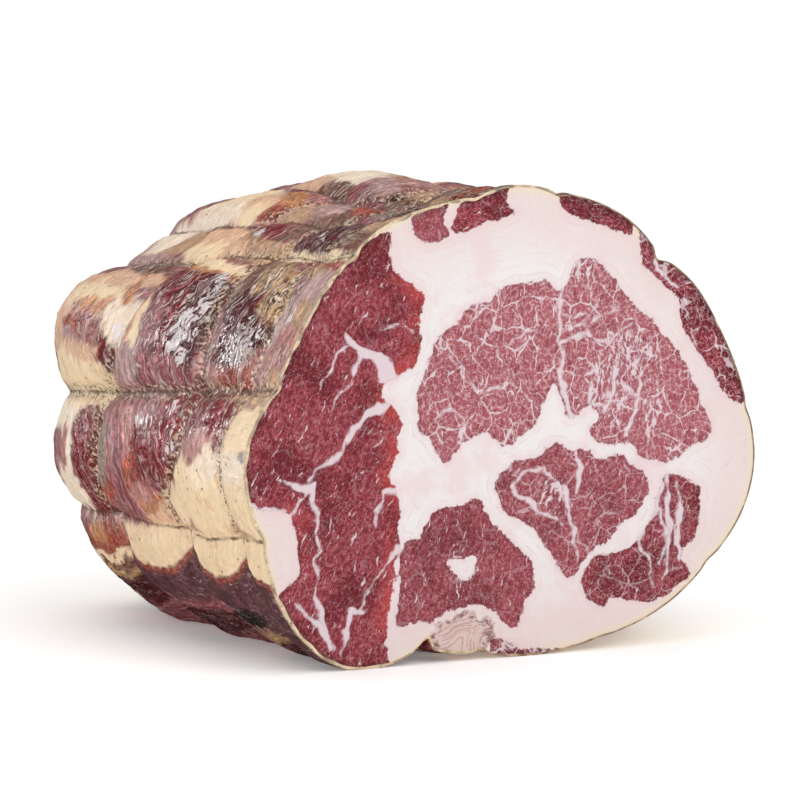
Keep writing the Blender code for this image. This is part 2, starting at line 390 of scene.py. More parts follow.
# Colour patches of the skin: colour, angle, station, half-width in degrees and half-length.
SKIN_PATCHES = (
    # From the cut face to the first ring.
    ("plum", 218, 3, 8, 8), ("brick", 210.5, 4, 1.2, 7), ("cream", 205, 4, 4, 9), ("cream", 194, 4, 6, 8),
    ("ivory", 187, 6, 4, 5), ("cream", 179, 4, 4, 7), ("tan", 200, 8, 1.6, 4), ("slate", 184, 1.8, 1.0, 1.4),
    ("tan", 173, 6, 1.4, 8), ("pink", 169, 8, 3, 4), ("tan", 168, 2, 3, 4), ("pink", 164, 6, 3, 6),
    ("pink", 158, 4, 4, 5), ("lilac", 155, 9, 6, 2.4), ("tan", 151, 3, 4, 4), ("lilac", 144, 4, 4, 4),
    ("brick", 138, 5, 1.6, 6), ("cream", 134, 4, 1.6, 8), ("brown", 127, 4, 4, 6), ("tan", 122, 3, 3, 6),
    ("maroon", 115, 3, 4, 5), ("brown", 106, 4, 4, 6), ("tan", 101, 5, 2, 5), ("crimson", 97, 4, 2, 4),
    ("brown", 90, 4, 5, 6), ("ochre", 139, 8, 2, 3),
    # From the first ring to the second.
    ("plum", 213, 20, 4.5, 12), ("black", 219.5, 20, 2.2, 5), ("ochre", 226, 19, 1.8, 6),
    ("maroon", 231, 16, 4, 8), ("brick", 210, 20, 0.8, 10), ("cream", 205, 20, 4.2, 14),
    ("cream", 193, 22, 7, 9), ("ivory", 188, 18, 3, 5), ("tan", 200.5, 30, 1.6, 5),
    ("crimson", 178, 17, 3.5, 4), ("pink", 183, 22, 3, 4), ("crimson", 177, 25, 3.5, 4),
    ("brick", 168, 17, 3, 6), ("pink", 168.5, 25, 2, 4), ("maroon", 160, 17, 6, 4),
    ("maroon", 156, 24.5, 9, 2.2), ("film", 161, 27, 6, 2.5), ("ochre", 149, 15, 5, 2.4),
    ("ochre", 145, 20, 4, 3), ("maroon", 151, 20, 3, 2), ("brown", 145, 26, 5, 2), ("cream", 136, 24, 1.5, 6),
    ("maroon", 129, 17, 4.5, 5), ("maroon", 125, 14, 4, 3), ("grey", 115, 14, 4, 3), ("film", 119, 15, 2, 3),
    ("brown", 97, 15, 6, 3), ("tan", 100, 13, 2, 2),
    # From the second ring to the third.
    ("plum", 213, 46, 5, 14), ("film", 219.5, 48, 2.5, 12), ("maroon", 226, 48, 5, 12),
    ("film", 233, 46, 3, 9), ("cream", 205.5, 44, 4, 12), ("brick", 210, 44, 0.8, 12),
    ("cream", 205, 58, 2.2, 6), ("film", 203, 63, 2, 4), ("cream", 197, 33, 5, 4), ("peach", 199, 42, 2.2, 7),
    ("orange", 196, 45, 1.6, 4), ("pink", 193.5, 47, 2, 5), ("film", 197, 55, 3, 6),
    ("crimson", 183, 34, 7, 3.5), ("crimson", 186, 42, 5, 6), ("film", 177, 46, 2, 7),
    ("brick", 189, 49, 4, 3), ("film", 188, 57, 9, 4), ("grey", 187, 64, 5, 3), ("brick", 194, 62, 3, 3),
    ("pink", 180, 54, 3, 4), ("maroon", 158, 35, 8, 4), ("crimson", 157, 40, 8, 3),
    ("crimson", 151, 43, 4, 5), ("film", 160, 44, 5, 4), ("film", 169, 42, 3.2, 8), ("lilac", 168, 54, 3, 6),
    ("cream", 144, 37, 1.5, 7), ("orange", 146, 40, 1.0, 7), ("orange", 158, 54, 6, 1.0),
    ("cream", 161, 51.5, 5, 1.4), ("tan", 136, 33, 2.6, 8), ("crimson", 132, 37.5, 3.4, 4.2),
    ("brown", 127, 29, 4, 2), ("tan", 133, 44, 3, 4), ("peach", 138, 44, 1.8, 5), ("tan", 122, 38, 2.5, 4),
    ("brown", 120, 26, 5, 2.5), ("lilac", 117, 31, 3, 3), ("brick", 113, 24, 4, 2.2), ("tan", 118, 36, 2, 3),
    ("brown", 103, 23, 4, 2.4), ("tan", 96, 23, 5, 2), ("maroon", 101, 28, 3, 2),
    # Beyond the third ring.
    ("brick", 204, 73, 2.0, 3), ("orange", 204, 79, 2.0, 4), ("brick", 207, 79, 1.4, 8),
    ("cream", 209.7, 80, 1.0, 9), ("brown", 212, 78, 1.3, 9), ("ochre", 214, 80, 1.3, 8),
    ("maroon", 219, 78, 3.5, 10), ("crimson", 188, 75, 10, 4.5), ("ivory", 186, 82, 10, 1.4),
    ("pink", 184, 86.5, 5, 2), ("ivory", 179, 92, 3.5, 9), ("cream", 175, 80, 1.8, 9),
    ("ivory", 194, 90, 4, 6), ("crimson", 167.5, 66, 3, 3.5), ("cream", 170, 80, 4, 12),
    # The ivory at angle 160, station 61 is a painted highlight.
    ("ivory", 160, 61, 4, 4), ("peach", 166, 76, 2.4, 8), ("pink", 163, 72, 1.2, 5),
    ("brick", 161, 79, 1.0, 4), ("orange", 157, 71, 1.0, 8), ("cream", 155, 74, 2.2, 9),
    ("lilac", 163, 82, 1.4, 3), ("peach", 150, 74, 2.0, 14), ("orange", 152, 60, 4, 1.2),
    ("brown", 147, 64, 1.8, 6), ("film", 146, 80, 1.6, 14), ("peach", 158, 92, 5, 8),
    ("cream", 138, 56, 3, 5), ("peach", 133, 56, 2.6, 5), ("tan", 136, 70, 3.5, 6), ("ivory", 134, 85, 5, 8),
    ("lilac", 141, 84, 1.5, 10), ("brown", 130.3, 62, 0.9, 4), ("brick", 124.5, 48, 3, 1.3),
    ("orange", 116, 48, 2.5, 3), ("cream", 124, 54, 3, 3), ("peach", 121, 56, 3, 4), ("ivory", 124, 68, 4, 9),
    ("cream", 118, 66, 4, 8), ("pink", 113, 44, 2, 3), ("brown", 107, 45, 3, 6), ("film", 105, 38, 3, 4),
    ("peach", 104, 58, 3, 8), ("ivory", 98, 50, 6, 8), ("lilac", 100, 36, 4, 3.5),
)
PATCH_SHARPNESS = 3.6
FAINTEST = (1e-14, 1e-4)
FOLD_OFFSET = 1.5
PATCH_WANDER = 1.7
WANDER_GRAIN = 5.0
HIDDEN_COLOURS = ("maroon", "plum", "crimson", "crimson", "film", "brick", "film", "pink", "lilac", "tan",
                  "peach", "cream", "ivory", "cream")
HIDDEN_PATCHES = 360
HIDDEN_SPAN = 22.0
HIDDEN_WANDER = 3.4
# The cream lobes of the lower left: angle of the notches between them, how far they hang below, their shape,
# the angles where they fade in and where the dark meat below them fades out, and the red line under them.
SCALLOP_TOP = 205.0
SCALLOP_DROP = 4.6
SCALLOP_POWER = 2.6
SCALLOP_LINES = (200.5, 202.0, 213.0, 218.0)
SCALLOP_WANDER = 0.5
SCALLOP_EDGE = 0.9
SCALLOP_EDGE_WIDTH = 0.7
SCALLOP_EDGE_SHARE = 0.75
FIRST_LOBE_LENGTH = 11.0
# How strongly the skin is rippled: angles round the meat and shares.
RIPPLED = ((0, 110, 122, 138, 145, 168, 176, 203, 212, 300, 330, 360),
           (0.8, 0.9, 0.55, 0.55, 1.0, 1.0, 0.6, 0.5, 0.25, 0.25, 0.7, 0.8))
# Angles round the meat and the share of streaks that run lengthwise there.
LENGTHWISE = ((90, 106, 134, 138, 172, 176, 190, 194), (0, 1, 1, 0, 0, 1, 1, 0))
# The side that the photograph shows.
PAINTED_ANGLES = (88.0, 234.0)
PAINTED_LENGTH = 92.0
PAINTED_FADE = 8.0
# Gap kept on the lip, where no crease is near.
FAR_GAP = 9.0
DEEP_GROOVE = 2.0


def dense_columns():
    """Angles of the skin's columns, closer together on the side that the photograph shows."""
    fine = np.linspace(0.0, 360.0, 3601)
    density = 1.0 + 0.9 * np.exp(-(wrapped(fine - DENSE_ANGLE) / DENSE_SPREAD) ** 2)
    total = np.concatenate([[0.0], np.cumsum((density[1:] + density[:-1]) / 2)])
    return np.interp(np.arange(SKIN_COLUMNS) / SKIN_COLUMNS * total[-1], total, fine)


def dense_rows():
    """Stations of the skin's rows, closer together near the cut face."""
    fine = np.linspace(0.0, TIP_STATION - 0.4, 2001)
    density = 1.0 + 0.8 * np.exp(-(fine / 85.0) ** 4)
    total = np.concatenate([[0.0], np.cumsum((density[1:] + density[:-1]) / 2)])
    return np.interp(np.linspace(0.0, total[-1], SKIN_ROWS), total, fine)


def skin_patches():
    """The named colour patches, and like ones on the sides that the photograph hides."""
    patches = list(SKIN_PATCHES)
    draw = random.Random(7)
    while len(patches) < len(SKIN_PATCHES) + HIDDEN_PATCHES:
        angle = draw.uniform(0.0, 360.0)
        station = draw.uniform(2.0, TIP_STATION)
        painted = PAINTED_ANGLES[0] < angle < PAINTED_ANGLES[1] and station < PAINTED_LENGTH
        if not painted:
            place = skin_point(np.array([angle]), np.array([station]))
            shade = 0.5 + 1.3 * float(noise_at(place / HIDDEN_SPAN, 2, 51.0)[0]) + draw.uniform(-0.16, 0.16)
            colour = HIDDEN_COLOURS[int(min(max(shade, 0.0), 0.999) * len(HIDDEN_COLOURS))]
            patches.append((colour, angle, station, draw.uniform(5, 11), draw.uniform(3, 6)))
    return patches


def line_distances(angle, station):
    """Distances to each deeper straight groove and to each ring groove, less than 0 before it."""
    axis = np.interp(station, PROFILE[0], PROFILE[1])
    share = np.interp(station, PROFILE[0], PROFILE[2])
    radius = bare_radius(angle, axis) * share
    straight = [np.abs(np.radians(wrapped(angle - straight_angle(groove, station)))) * radius
                for groove in STRAIGHT_GROOVES if groove[4] > DEEP_GROOVE]
    rings = [station - ring_station(ring, angle) for ring in RING_GROOVES]
    return straight, rings


def line_gaps(angle, straight, rings):
    """Distances to the nearest straight groove, the nearest ring and the fold before each ring, where a
    highlight is painted.
    """
    fold_highlight_share = np.interp(angle, *FOLD_HIGHLIGHT_SHARES)
    along = np.minimum.reduce(straight)
    around = np.minimum.reduce([np.abs(ring) for ring in rings[1:]] + [np.abs(rings[0]) + 0.15])
    fold = np.minimum.reduce([np.abs(ring + FOLD_OFFSET) for ring in rings]) + (1.0 - fold_highlight_share)
    return np.stack([along, around, fold], axis=-1)


def skin_grain(angle, station, points):
    """Coordinates stretched along the wrinkles, which cross the lobes at a slant."""
    slant = np.interp(angle, *SLANT) * np.clip((station - SLANT_START) / SLANT_LENGTH, 0.0, 1.0)
    return np.stack([points[:, 0], points[:, 2], (station + slant) * GRAIN_STRETCH], axis=-1)


def rough(places, kind):
    """Height of one kind of relief."""
    grain, octaves, seed, height = kind
    return noise_at(places / grain, octaves, seed) * height


def skin_relief(angle, station, grain, bands):
    """Height of dents, wrinkles and the net's print, in millimetres."""
    place = skin_point(angle, station)
    folds = noise_at(grain * FOLD_STRETCH, 1, 3.0) * FOLD_HEIGHT
    relief = rough(place, DENTS) + rough(grain, WRINKLES) + folds + rough(place, LUMPS)
    return (relief + rough(place, WEAVE) * bands) * smoothstep(0.0, FADE_TO_REST, station)


def make_skin():
    """The dried casing: all of the log but the cut face, with a thin lip round the cut."""
    columns = dense_columns()
    rows = dense_rows()
    angle, station = (part.ravel() for part in np.meshgrid(columns, rows))
    bare = skin_point(angle, station)
    grain = skin_grain(angle, station, bare)
    straight, rings = line_distances(angle, station)
    bands = print_bands(angle, station, straight, rings)
    relief = skin_relief(angle, station, grain, bands)
    points = skin_point(angle, station, relief)
    lip = lip_rows(columns, points[:SKIN_COLUMNS])
    lip_count = len(SKIN_LIP)
    points = np.concatenate([lip, points])
    tip = points[-SKIN_COLUMNS:].mean(axis=0, keepdims=True)
    points = np.concatenate([points, tip])
    faces = strip_faces(lip_count + SKIN_ROWS, SKIN_COLUMNS)
    piece = mesh_object("casing", points, faces, skin_material())
    paint_skin(piece.data, angle, station, lip_count, grain, bands, straight, rings)
    return piece


def lip_rows(columns, edge):
    """Points of the casing's cut edge, which shows as a thin pale line round the cut face."""
    turn = np.radians(columns)
    inward = -np.stack([np.cos(turn), np.zeros_like(turn), np.sin(turn)], axis=-1)
    wide = np.interp(columns, *LIP_WIDTH)
    wide *= 1.0 + 0.25 * np.sin(turn * 31.0 + 1.0) * np.sin(turn * 13.0) + 0.15 * np.sin(turn * 71.0)
    rows = []
    for inset, proud in SKIN_LIP:
        rows.append(edge + inward * (inset * wide)[:, None] - np.array([0.0, proud, 0.0]))
    return np.concatenate(rows)


def strip_faces(rows, columns):
    """Quads of a tube of rows, closed at the end by triangles to one last point."""
    faces = []
    for row in range(rows - 1):
        for column in range(columns):
            after = (column + 1) % columns
            start = row * columns
            faces.append((start + column, start + column + columns, start + after + columns, start + after))
    last = (rows - 1) * columns
    tip = rows * columns
    faces.extend((last + column, tip, last + (column + 1) % columns) for column in range(columns))
    return faces


def print_bands(angle, station, straight, rings):
    """Where the net has left its woven print: along the main grooves."""
    first, second, third, fourth = (np.abs(ring) for ring in rings)
    third = third * THIRD_RING_NARROWER + np.interp(angle, *THIRD_RING_FADE)
    grooves = [straight[groove] * narrower for groove, narrower in zip(PRINTED_GROOVES, PRINT_NARROWER)]
    across = np.minimum.reduce([first * FIRST_RING_NARROWER, second, third, fourth] + grooves)
    start, full, fading, end = PLAIN_SKIN
    plain = smoothstep(start, full, angle) * (1.0 - smoothstep(fading, end, angle))
    return (1.0 - smoothstep(*PRINT_WIDTH, across)) * (1.0 - PLAIN_SHARE * plain)


def hang_over(angle, rings, places):
    """How far, in degrees, each place lies above the scalloped lower edge of the cream lobes."""
    share = 0.5 + 0.5 * np.clip(1.0 + rings[0] / FIRST_LOBE_LENGTH, 0.0, 1.0)
    for before, after in zip(rings, rings[1:]):
        inside = (before > 0.0) & (after <= 0.0)
        share = np.where(inside, before / np.maximum(before - after, 1e-6), share)
    dome = 1.0 - np.abs(2.0 * share - 1.0) ** SCALLOP_POWER
    edge = SCALLOP_TOP + SCALLOP_DROP * dome + SCALLOP_WANDER * noise_at(places / 2.5, 2, 61.0)
    return edge - angle


def lip_tints(angle):
    """Colour of the casing's cut edge: cream on the left, thin and dark on the right."""
    pale = np.interp(angle, *LIP_PALENESS)
    turn = np.radians(angle)
    rim = np.stack([np.cos(turn), np.sin(turn), np.zeros_like(turn)], axis=-1)
    pale = np.clip(pale + noise_at(rim * 26.0, 2, 41.0) * 0.9, 0.0, 1.0)
    return LIP_DARK + (np.array(LIP_PALE) - LIP_DARK) * pale[:, None]


def patch_weight(angle, station, patch, sharpness):
    """How strongly one patch covers each place."""
    middle, middle_station, half_width, half_length = patch
    across = wrapped(angle - middle) / half_width
    along = (station - middle_station) / half_length
    return np.exp(-(across ** 2 + along ** 2) * sharpness)


def look_of(name):
    """The colour of this name and its numbers, in one row."""
    colour, *numbers = SKIN_COLOURS[name]
    return np.array([*colour, *numbers])


def shown_share(angle, station):
    """1 on the side that the photograph shows, falling to 0 on the hidden sides."""
    low, high = PAINTED_ANGLES
    share = smoothstep(low - PAINTED_FADE, low, angle)
    share *= 1.0 - smoothstep(high, high + PAINTED_FADE, angle)
    return share * (1.0 - smoothstep(PAINTED_LENGTH, PAINTED_LENGTH + PAINTED_FADE, station))


def patched_looks(angle, station, shown):
    """Looks of the skin: the patches that meet at each place, weighted by how near they are."""
    weight_sum = FAINTEST[0] + (FAINTEST[1] - FAINTEST[0]) * shown
    looks = weight_sum[:, None] * look_of("film")
    for name, *patch in skin_patches():
        weight = patch_weight(angle, station, patch, PATCH_SHARPNESS)
        looks += weight[:, None] * look_of(name)
        weight_sum += weight
    return looks / weight_sum[:, None]


def scalloped_looks(looks, angle, rings, places):
    """Looks with the cream lobes of the lower left, their red edge and the dark meat below them."""
    above = hang_over(angle, rings, places)
    start, full, fading, end = SCALLOP_LINES
    zone = smoothstep(start, full, angle) * (1.0 - smoothstep(-1.0, 0.5, rings[2]))
    dark = (1.0 - smoothstep(-0.6, 0.2, above)) * zone * (1.0 - smoothstep(fading, end, angle))
    edge = np.exp(-((above + SCALLOP_EDGE) / SCALLOP_EDGE_WIDTH) ** 2) * zone * SCALLOP_EDGE_SHARE
    cream = smoothstep(-0.30, 0.30, above) * zone
    for name, share in (("plum", dark), ("brick", edge), ("cream", cream)):
        looks += (look_of(name) - looks) * share[:, None]
    return looks


def lengthwise_share(angle, station):
    """Where streaks and wrinkles run along the meat instead of round it."""
    beside_grooves = np.interp(angle, *LENGTHWISE) * (1.0 - smoothstep(8.0, 12.0, station))
    below = smoothstep(205.0, 210.0, angle)
    return np.maximum(beside_grooves, below) * (1.0 - smoothstep(245.0, 260.0, angle))


def paint_skin(mesh, angle, station, lip_count, grain, bands, straight, rings):
    """Colour and wetness of the skin, its print, bloom and painted highlight, and creases, kept on its
    vertices.
    """
    lip_points = lip_count * SKIN_COLUMNS

    def whole(values, lip_value):
        """Values for the lip, the skin and its tip."""
        lip = np.broadcast_to(np.asarray(lip_value, float), (lip_points,) + values.shape[1:])
        return np.concatenate([lip, values, values[-1:]])

    places = skin_point(angle, station)
    shown = shown_share(angle, station)
    wander = HIDDEN_WANDER + (PATCH_WANDER - HIDDEN_WANDER) * shown
    sideways = noise_at(places / WANDER_GRAIN, 4, 11.0) + 0.7 * noise_at(grain / 6.0, 2, 13.0)
    moved = angle + wander * sideways, station + wander * noise_at(places / WANDER_GRAIN, 4, 12.0)
    looks = scalloped_looks(patched_looks(*moved, shown), angle, rings, places)
    # White bloom, part dry film and part painted highlight.
    bloom_and_highlight = np.maximum.reduce([patch_weight(*moved, patch, BLOOM_AND_HIGHLIGHT_SHARPNESS) for patch in BLOOM_AND_HIGHLIGHT_PATCHES])
    lip_tint = lip_tints(angle[:SKIN_COLUMNS])
    near_cut = (1.0 - smoothstep(*LIP_REACH, station))[:, None]
    tint = looks[:, :3] + (np.tile(lip_tint, (SKIN_ROWS, 1)) - looks[:, :3]) * near_cut
    wet, stipple, torn, ripple = looks[:, 3:].T
    add_vector_field(mesh, "tint", np.concatenate([np.tile(lip_tint, (lip_count, 1)), tint, tint[-1:]]))
    numbers = {"wet": (wet, 0.2), "print": (np.maximum(bands, stipple), 0.5), "torn": (torn, 0.0),
               "bloom_and_highlight": (bloom_and_highlight, 0.0), "ripple": (ripple * np.interp(angle, *RIPPLED), 0.0),
               "lengthwise": (lengthwise_share(angle, station), 0.0)}
    for name, (values, lip_value) in numbers.items():
        add_field(mesh, name, whole(values, lip_value))
    add_vector_field(mesh, "gaps", whole(line_gaps(angle, straight, rings), FAR_GAP))
    lip_grain = np.repeat(grain[:1], lip_points, axis=0)
    add_vector_field(mesh, "grain", np.concatenate([lip_grain, grain, grain[-1:]]))


# Nodes of a material

class Nodes:
    """Makes the nodes of one material and links them."""

    def __init__(self, tree):
        self.tree = tree

    def put(self, socket, value):
        """Links a socket to another, or sets it to a plain value."""
        if isinstance(value, bpy.types.NodeSocket):
            self.tree.links.new(value, socket)
        elif isinstance(value, tuple) and len(value) == 3 and socket.type == "RGBA":
            socket.default_value = (*value, 1.0)
        else:
            socket.default_value = value

    def made(self, kind, inputs, output=0, **settings):
        """One output of a new node that has these inputs and settings."""
        node = self.tree.nodes.new("ShaderNode" + kind)
        for name, value in settings.items():
            setattr(node, name, value)
        for name, value in inputs.items():
            self.put(node.inputs[name], value)
        return node.outputs[output]

    def math(self, operation, *values, clamp=False):
        """One arithmetic step."""
        return self.made("Math", dict(enumerate(values)), operation=operation, use_clamp=clamp)

    def times(self, *values):
        """The product of the values."""
        product = values[0]
        for value in values[1:]:
            product = self.math("MULTIPLY", product, value)
        return product

    def plus(self, first, second, clamp=False):
        """A sum."""
        return self.math("ADD", first, second, clamp=clamp)

    def minus(self, first, second):
        """A difference."""
        return self.math("SUBTRACT", first, second)

    def times_plus(self, first, second, third, clamp=False):
        """A product and a sum in one step."""
        return self.math("MULTIPLY_ADD", first, second, third, clamp=clamp)

    def off_centre(self, value, amount):
        """A value from 0 to 1 turned into a swing to both sides of 0."""
        return self.times(self.minus(value, 0.5), amount)

    def away_from(self, value, middle):
        """How far a value lies from a middle one."""
        return self.math("ABSOLUTE", self.minus(value, middle))

    def ramp(self, value, low, high, out_low=0.0, out_high=1.0):
        """A soft rise from out_low to out_high as value goes from low to high."""
        inputs = {"Value": value, "From Min": low, "From Max": high, "To Min": out_low, "To Max": out_high}
        return self.made("MapRange", inputs, interpolation_type="SMOOTHSTEP")

    def mix(self, share, first, second):
        """Colour between first and second."""
        return self.made("Mix", {0: share, 6: first, 7: second}, 2, data_type="RGBA")

    def layers(self, colour, *layers):
        """A colour with others laid over it in turn, each by its share."""
        for share, over in layers:
            colour = self.mix(share, colour, over)
        return colour

    def between(self, share, first, second):
        """Number between first and second."""
        return self.made("Mix", {0: share, 2: first, 3: second})

    def field(self, name, output="Fac"):
        """A field kept on the mesh."""
        return self.made("Attribute", {}, output, attribute_name=name)

    def noise(self, vector, scale, detail=2.0, rough=0.5, distortion=0.0, output="Fac"):
        """Noise from 0 to 1."""
        inputs = {"Vector": vector, "Scale": scale, "Detail": detail, "Roughness": rough,
                  "Distortion": distortion}
        return self.made("TexNoise", inputs, output)

    def cells(self, vector, scale, feature):
        """Cells: the distance to their walls or middles."""
        return self.made("TexVoronoi", {"Vector": vector, "Scale": scale}, "Distance", feature=feature)

    def vector(self, operation, first, second):
        """One step with vectors."""
        return self.made("VectorMath", {0: first, 1: second}, operation=operation)

    def scaled(self, vector, factor):
        """A vector times a number."""
        return self.made("VectorMath", {0: vector, "Scale": factor}, operation="SCALE")

    def stretched(self, vector, *factors):
        """A vector stretched along its axes."""
        return self.vector("MULTIPLY", vector, factors)

    def part(self, vector, axis):
        """One coordinate of a vector."""
        return self.made("SeparateXYZ", {0: vector}, axis)

    def warped(self, vector, scale, amount):
        """A vector pushed about by colour noise, so that straight edges wander."""
        push = self.vector("SUBTRACT", self.noise(vector, scale, output="Color"), (0.5, 0.5, 0.5))
        return self.vector("ADD", vector, self.scaled(push, amount))

    def bump(self, height, strength, distance):
        """Fine relief."""
        return self.made("Bump", {"Height": height, "Strength": strength, "Distance": distance})

    def millimetres(self):
        """Places in the part, in millimetres."""
        return self.stretched(self.made("TexCoord", {}, "Object"), 1000.0, 1000.0, 1000.0)


def new_material(name):
    """A node material, the maker of its nodes, and its shader."""
    material = bpy.data.materials.new(name)
    material.use_nodes = True
    tree = material.node_tree
    return material, Nodes(tree), tree.nodes["Principled BSDF"]


# Skin details, linear.
WAVE_SCALE = 0.24
WAVE_PUSH = 17.0
FILM_LINE = (0.65, 0.43, 0.42)
# Painted highlight and painted shade for the lines along the ripples.
RIPPLE_HIGHLIGHT = (1.0, 0.90, 0.82)
RIPPLE_SHADE = (0.050, 0.009, 0.010)
UNDER_FILM = (0.240, 0.022, 0.036)
# White bloom, part dry film and part painted highlight.
BLOOM_AND_HIGHLIGHT = (0.820, 0.735, 0.745)
# Painted highlight on the folds before the rings.
FOLD_HIGHLIGHT = (0.780, 0.680, 0.570)
# Share of white in the painted ripple highlight.
RIPPLE_HIGHLIGHT_MIX = 0.5
WRINKLE = (0.13, 0.055, 0.045)
PALE_WRINKLE = (0.50, 0.27, 0.11)
STAIN = (0.62, 0.37, 0.19)
# Dark line in the creases: part brown line, part painted shade.
CREASE_BROWN_AND_SHADE = (0.11, 0.045, 0.02)
PRINT_LIGHT = (0.72, 0.58, 0.39)
PRINT_DARK = (0.085, 0.045, 0.032)
PORE = (0.09, 0.05, 0.03)
SKIN_BUMP = 0.0005


def skin_patterns(nodes):
    """Fields and noises that the skin's colour, gloss and relief share."""
    place = nodes.millimetres()
    push = nodes.off_centre(nodes.noise(place, WAVE_SCALE, 1.5), WAVE_PUSH)
    wave = nodes.made("CombineXYZ", {"Z": push})
    grain = nodes.vector("ADD", nodes.field("grain", "Vector"), wave)
    along = nodes.stretched(place, 2.4, 0.30, 2.4)
    lengthwise = nodes.field("lengthwise")
    return SimpleNamespace(
        place=place,
        grain=grain,
        streak=nodes.between(lengthwise,
                             nodes.noise(nodes.stretched(grain, 0.40, 0.40, 1.0), 0.14, 4.0, 0.65, 0.6),
                             nodes.noise(along, 0.34, 4.0, 0.65, 0.6)),
        fine_streak=nodes.between(lengthwise,
                                  nodes.noise(nodes.stretched(grain, 0.45, 0.45, 1.0), 0.34, 3.0, 0.6, 0.5),
                                  nodes.noise(along, 0.90, 3.0, 0.7, 0.4)),
        ripples=nodes.between(lengthwise,
                              nodes.noise(nodes.stretched(grain, 0.6, 0.6, 1.0), 0.115, 2.0, 0.5, 0.9),
                              nodes.noise(nodes.stretched(place, 1.0, 0.16, 1.0), 0.6, 2.0, 0.5, 0.6)),
        fine=nodes.noise(place, 0.8, 4.0, 0.7),
        tiny=nodes.noise(place, 2.2, 3.0, 0.65),
        broad=nodes.noise(place, 0.22, 3.0, 0.6),
        speck=nodes.noise(nodes.stretched(grain, 1.0, 1.0, 0.3), 1.1, 2.0, 0.6),
        tint=nodes.field("tint", "Vector"),
        wet=nodes.field("wet"),
        print_field=nodes.field("print"),
    )


def shaded_tint(nodes, see):
    """The painted tint, made lighter and darker by streaks where the skin is wet and thin."""
    shade = nodes.times(nodes.ramp(see.fine_streak, 0.36, 0.64, 0.72, 1.25),
                        nodes.ramp(see.fine, 0.36, 0.64, 0.70, 1.28),
                        nodes.ramp(see.broad, 0.34, 0.66, 0.80, 1.15))
    thin = nodes.ramp(see.wet, 0.10, 0.50, 0.15, 1.0)
    return nodes.scaled(see.tint, nodes.plus(nodes.times(shade, thin), nodes.minus(1.0, thin)))


def streaked_skin(nodes, see, colour):
    """Stains on the dry fat, tears in the film, wrinkle lines and lines of dry film."""
    stain = nodes.times(nodes.ramp(see.broad, 0.54, 0.66), nodes.ramp(see.fine, 0.42, 0.60, 0.2, 0.8),
                        nodes.ramp(see.wet, 0.4, 0.15, 0.0, 0.7))
    tear = nodes.times(nodes.ramp(see.streak, 0.53, 0.43), nodes.ramp(see.fine, 0.38, 0.56, 0.35, 1.0),
                       nodes.field("torn"))
    wrinkle = nodes.times(nodes.ramp(nodes.away_from(see.streak, 0.47), 0.022, 0.004),
                          nodes.ramp(see.broad, 0.40, 0.56, 0.1, 0.75),
                          nodes.ramp(see.wet, 0.1, 0.4, 0.65, 1.0))
    wrinkle_colour = nodes.mix(nodes.ramp(see.wet, 0.15, 0.4), PALE_WRINKLE, WRINKLE)
    film = nodes.times(nodes.ramp(see.streak, 0.54, 0.68), nodes.ramp(see.fine_streak, 0.48, 0.58, 0.0, 0.75),
                       nodes.ramp(see.wet, 0.15, 0.6, 0.10, 0.85))
    return nodes.layers(colour, (stain, STAIN), (tear, UNDER_FILM), (wrinkle, wrinkle_colour),
                        (film, FILM_LINE))


def bloom_and_highlight_share(nodes, see, ripple_shade):
    """Where the white bloom and painted highlight show, with ragged edges, broken by the painted ripple shade.
    """
    pits = nodes.noise(nodes.stretched(see.grain, 0.55, 0.55, 0.3), 0.85, 3.0, 0.6)
    small_pits = nodes.noise(nodes.stretched(see.grain, 0.8, 0.8, 0.4), 1.7, 1.0, 0.5)
    ragged = nodes.times_plus(nodes.minus(pits, 0.5), 1.5, nodes.minus(small_pits, 0.5))
    bloom_and_highlight_mask = nodes.plus(ragged, nodes.field("bloom_and_highlight"))
    return nodes.ramp(nodes.times_plus(ripple_shade, -0.9, bloom_and_highlight_mask), 0.44, 0.56)


def marked_skin(nodes, see, colour):
    """The net's print, painted highlight on the folds and painted shade with brown in the creases beside it,
    and pores.
    """
    light_specks = nodes.times(see.print_field, nodes.ramp(see.speck, 0.52, 0.60, 0.0, 0.85))
    dark_specks = nodes.times(see.print_field, nodes.ramp(see.speck, 0.47, 0.40, 0.0, 0.9))
    gaps = nodes.field("gaps", "Vector")
    meander = nodes.off_centre(see.fine, 1.3)

    def line_share(axis, wide, narrow, strength):
        """A thin wandering line where a gap is small."""
        off_line = nodes.math("ABSOLUTE", nodes.plus(nodes.part(gaps, axis), meander))
        return nodes.times(nodes.ramp(off_line, wide, narrow),
                           nodes.ramp(see.broad, 0.40, 0.58, strength * 0.4, strength))

    pores = nodes.ramp(nodes.cells(see.place, 0.30, "F1"), 0.12, 0.06, 0.0, 0.7)
    # Painted highlight on the folds; dark lines in the creases, part brown and part painted shade.
    return nodes.layers(colour, (light_specks, PRINT_LIGHT), (dark_specks, PRINT_DARK),
                        (line_share("Z", 0.75, 0.25, 0.95), FOLD_HIGHLIGHT),
                        (line_share("X", 0.60, 0.15, 0.85), CREASE_BROWN_AND_SHADE),
                        (line_share("Y", 0.50, 0.15, 0.85), CREASE_BROWN_AND_SHADE), (pores, PORE))


def skin_height(nodes, see, ripple):
    """Folds, lumps, ripples, grit and the net's print, as fine relief."""
    folds = nodes.noise(nodes.stretched(see.grain, 0.45, 0.45, 0.4), 0.36, 1.5, 0.4, 0.6)
    height = nodes.times_plus(nodes.noise(see.place, 0.55, 1.5, 0.4), 0.35, folds)
    height = nodes.times_plus(see.ripples, nodes.times(ripple, 0.9), height)
    grit = nodes.times(nodes.plus(see.tiny, see.fine), nodes.ramp(see.wet, 0.2, 0.8, 0.16, 0.04))
    return nodes.times_plus(nodes.times(see.speck, 0.5), see.print_field, nodes.plus(height, grit))


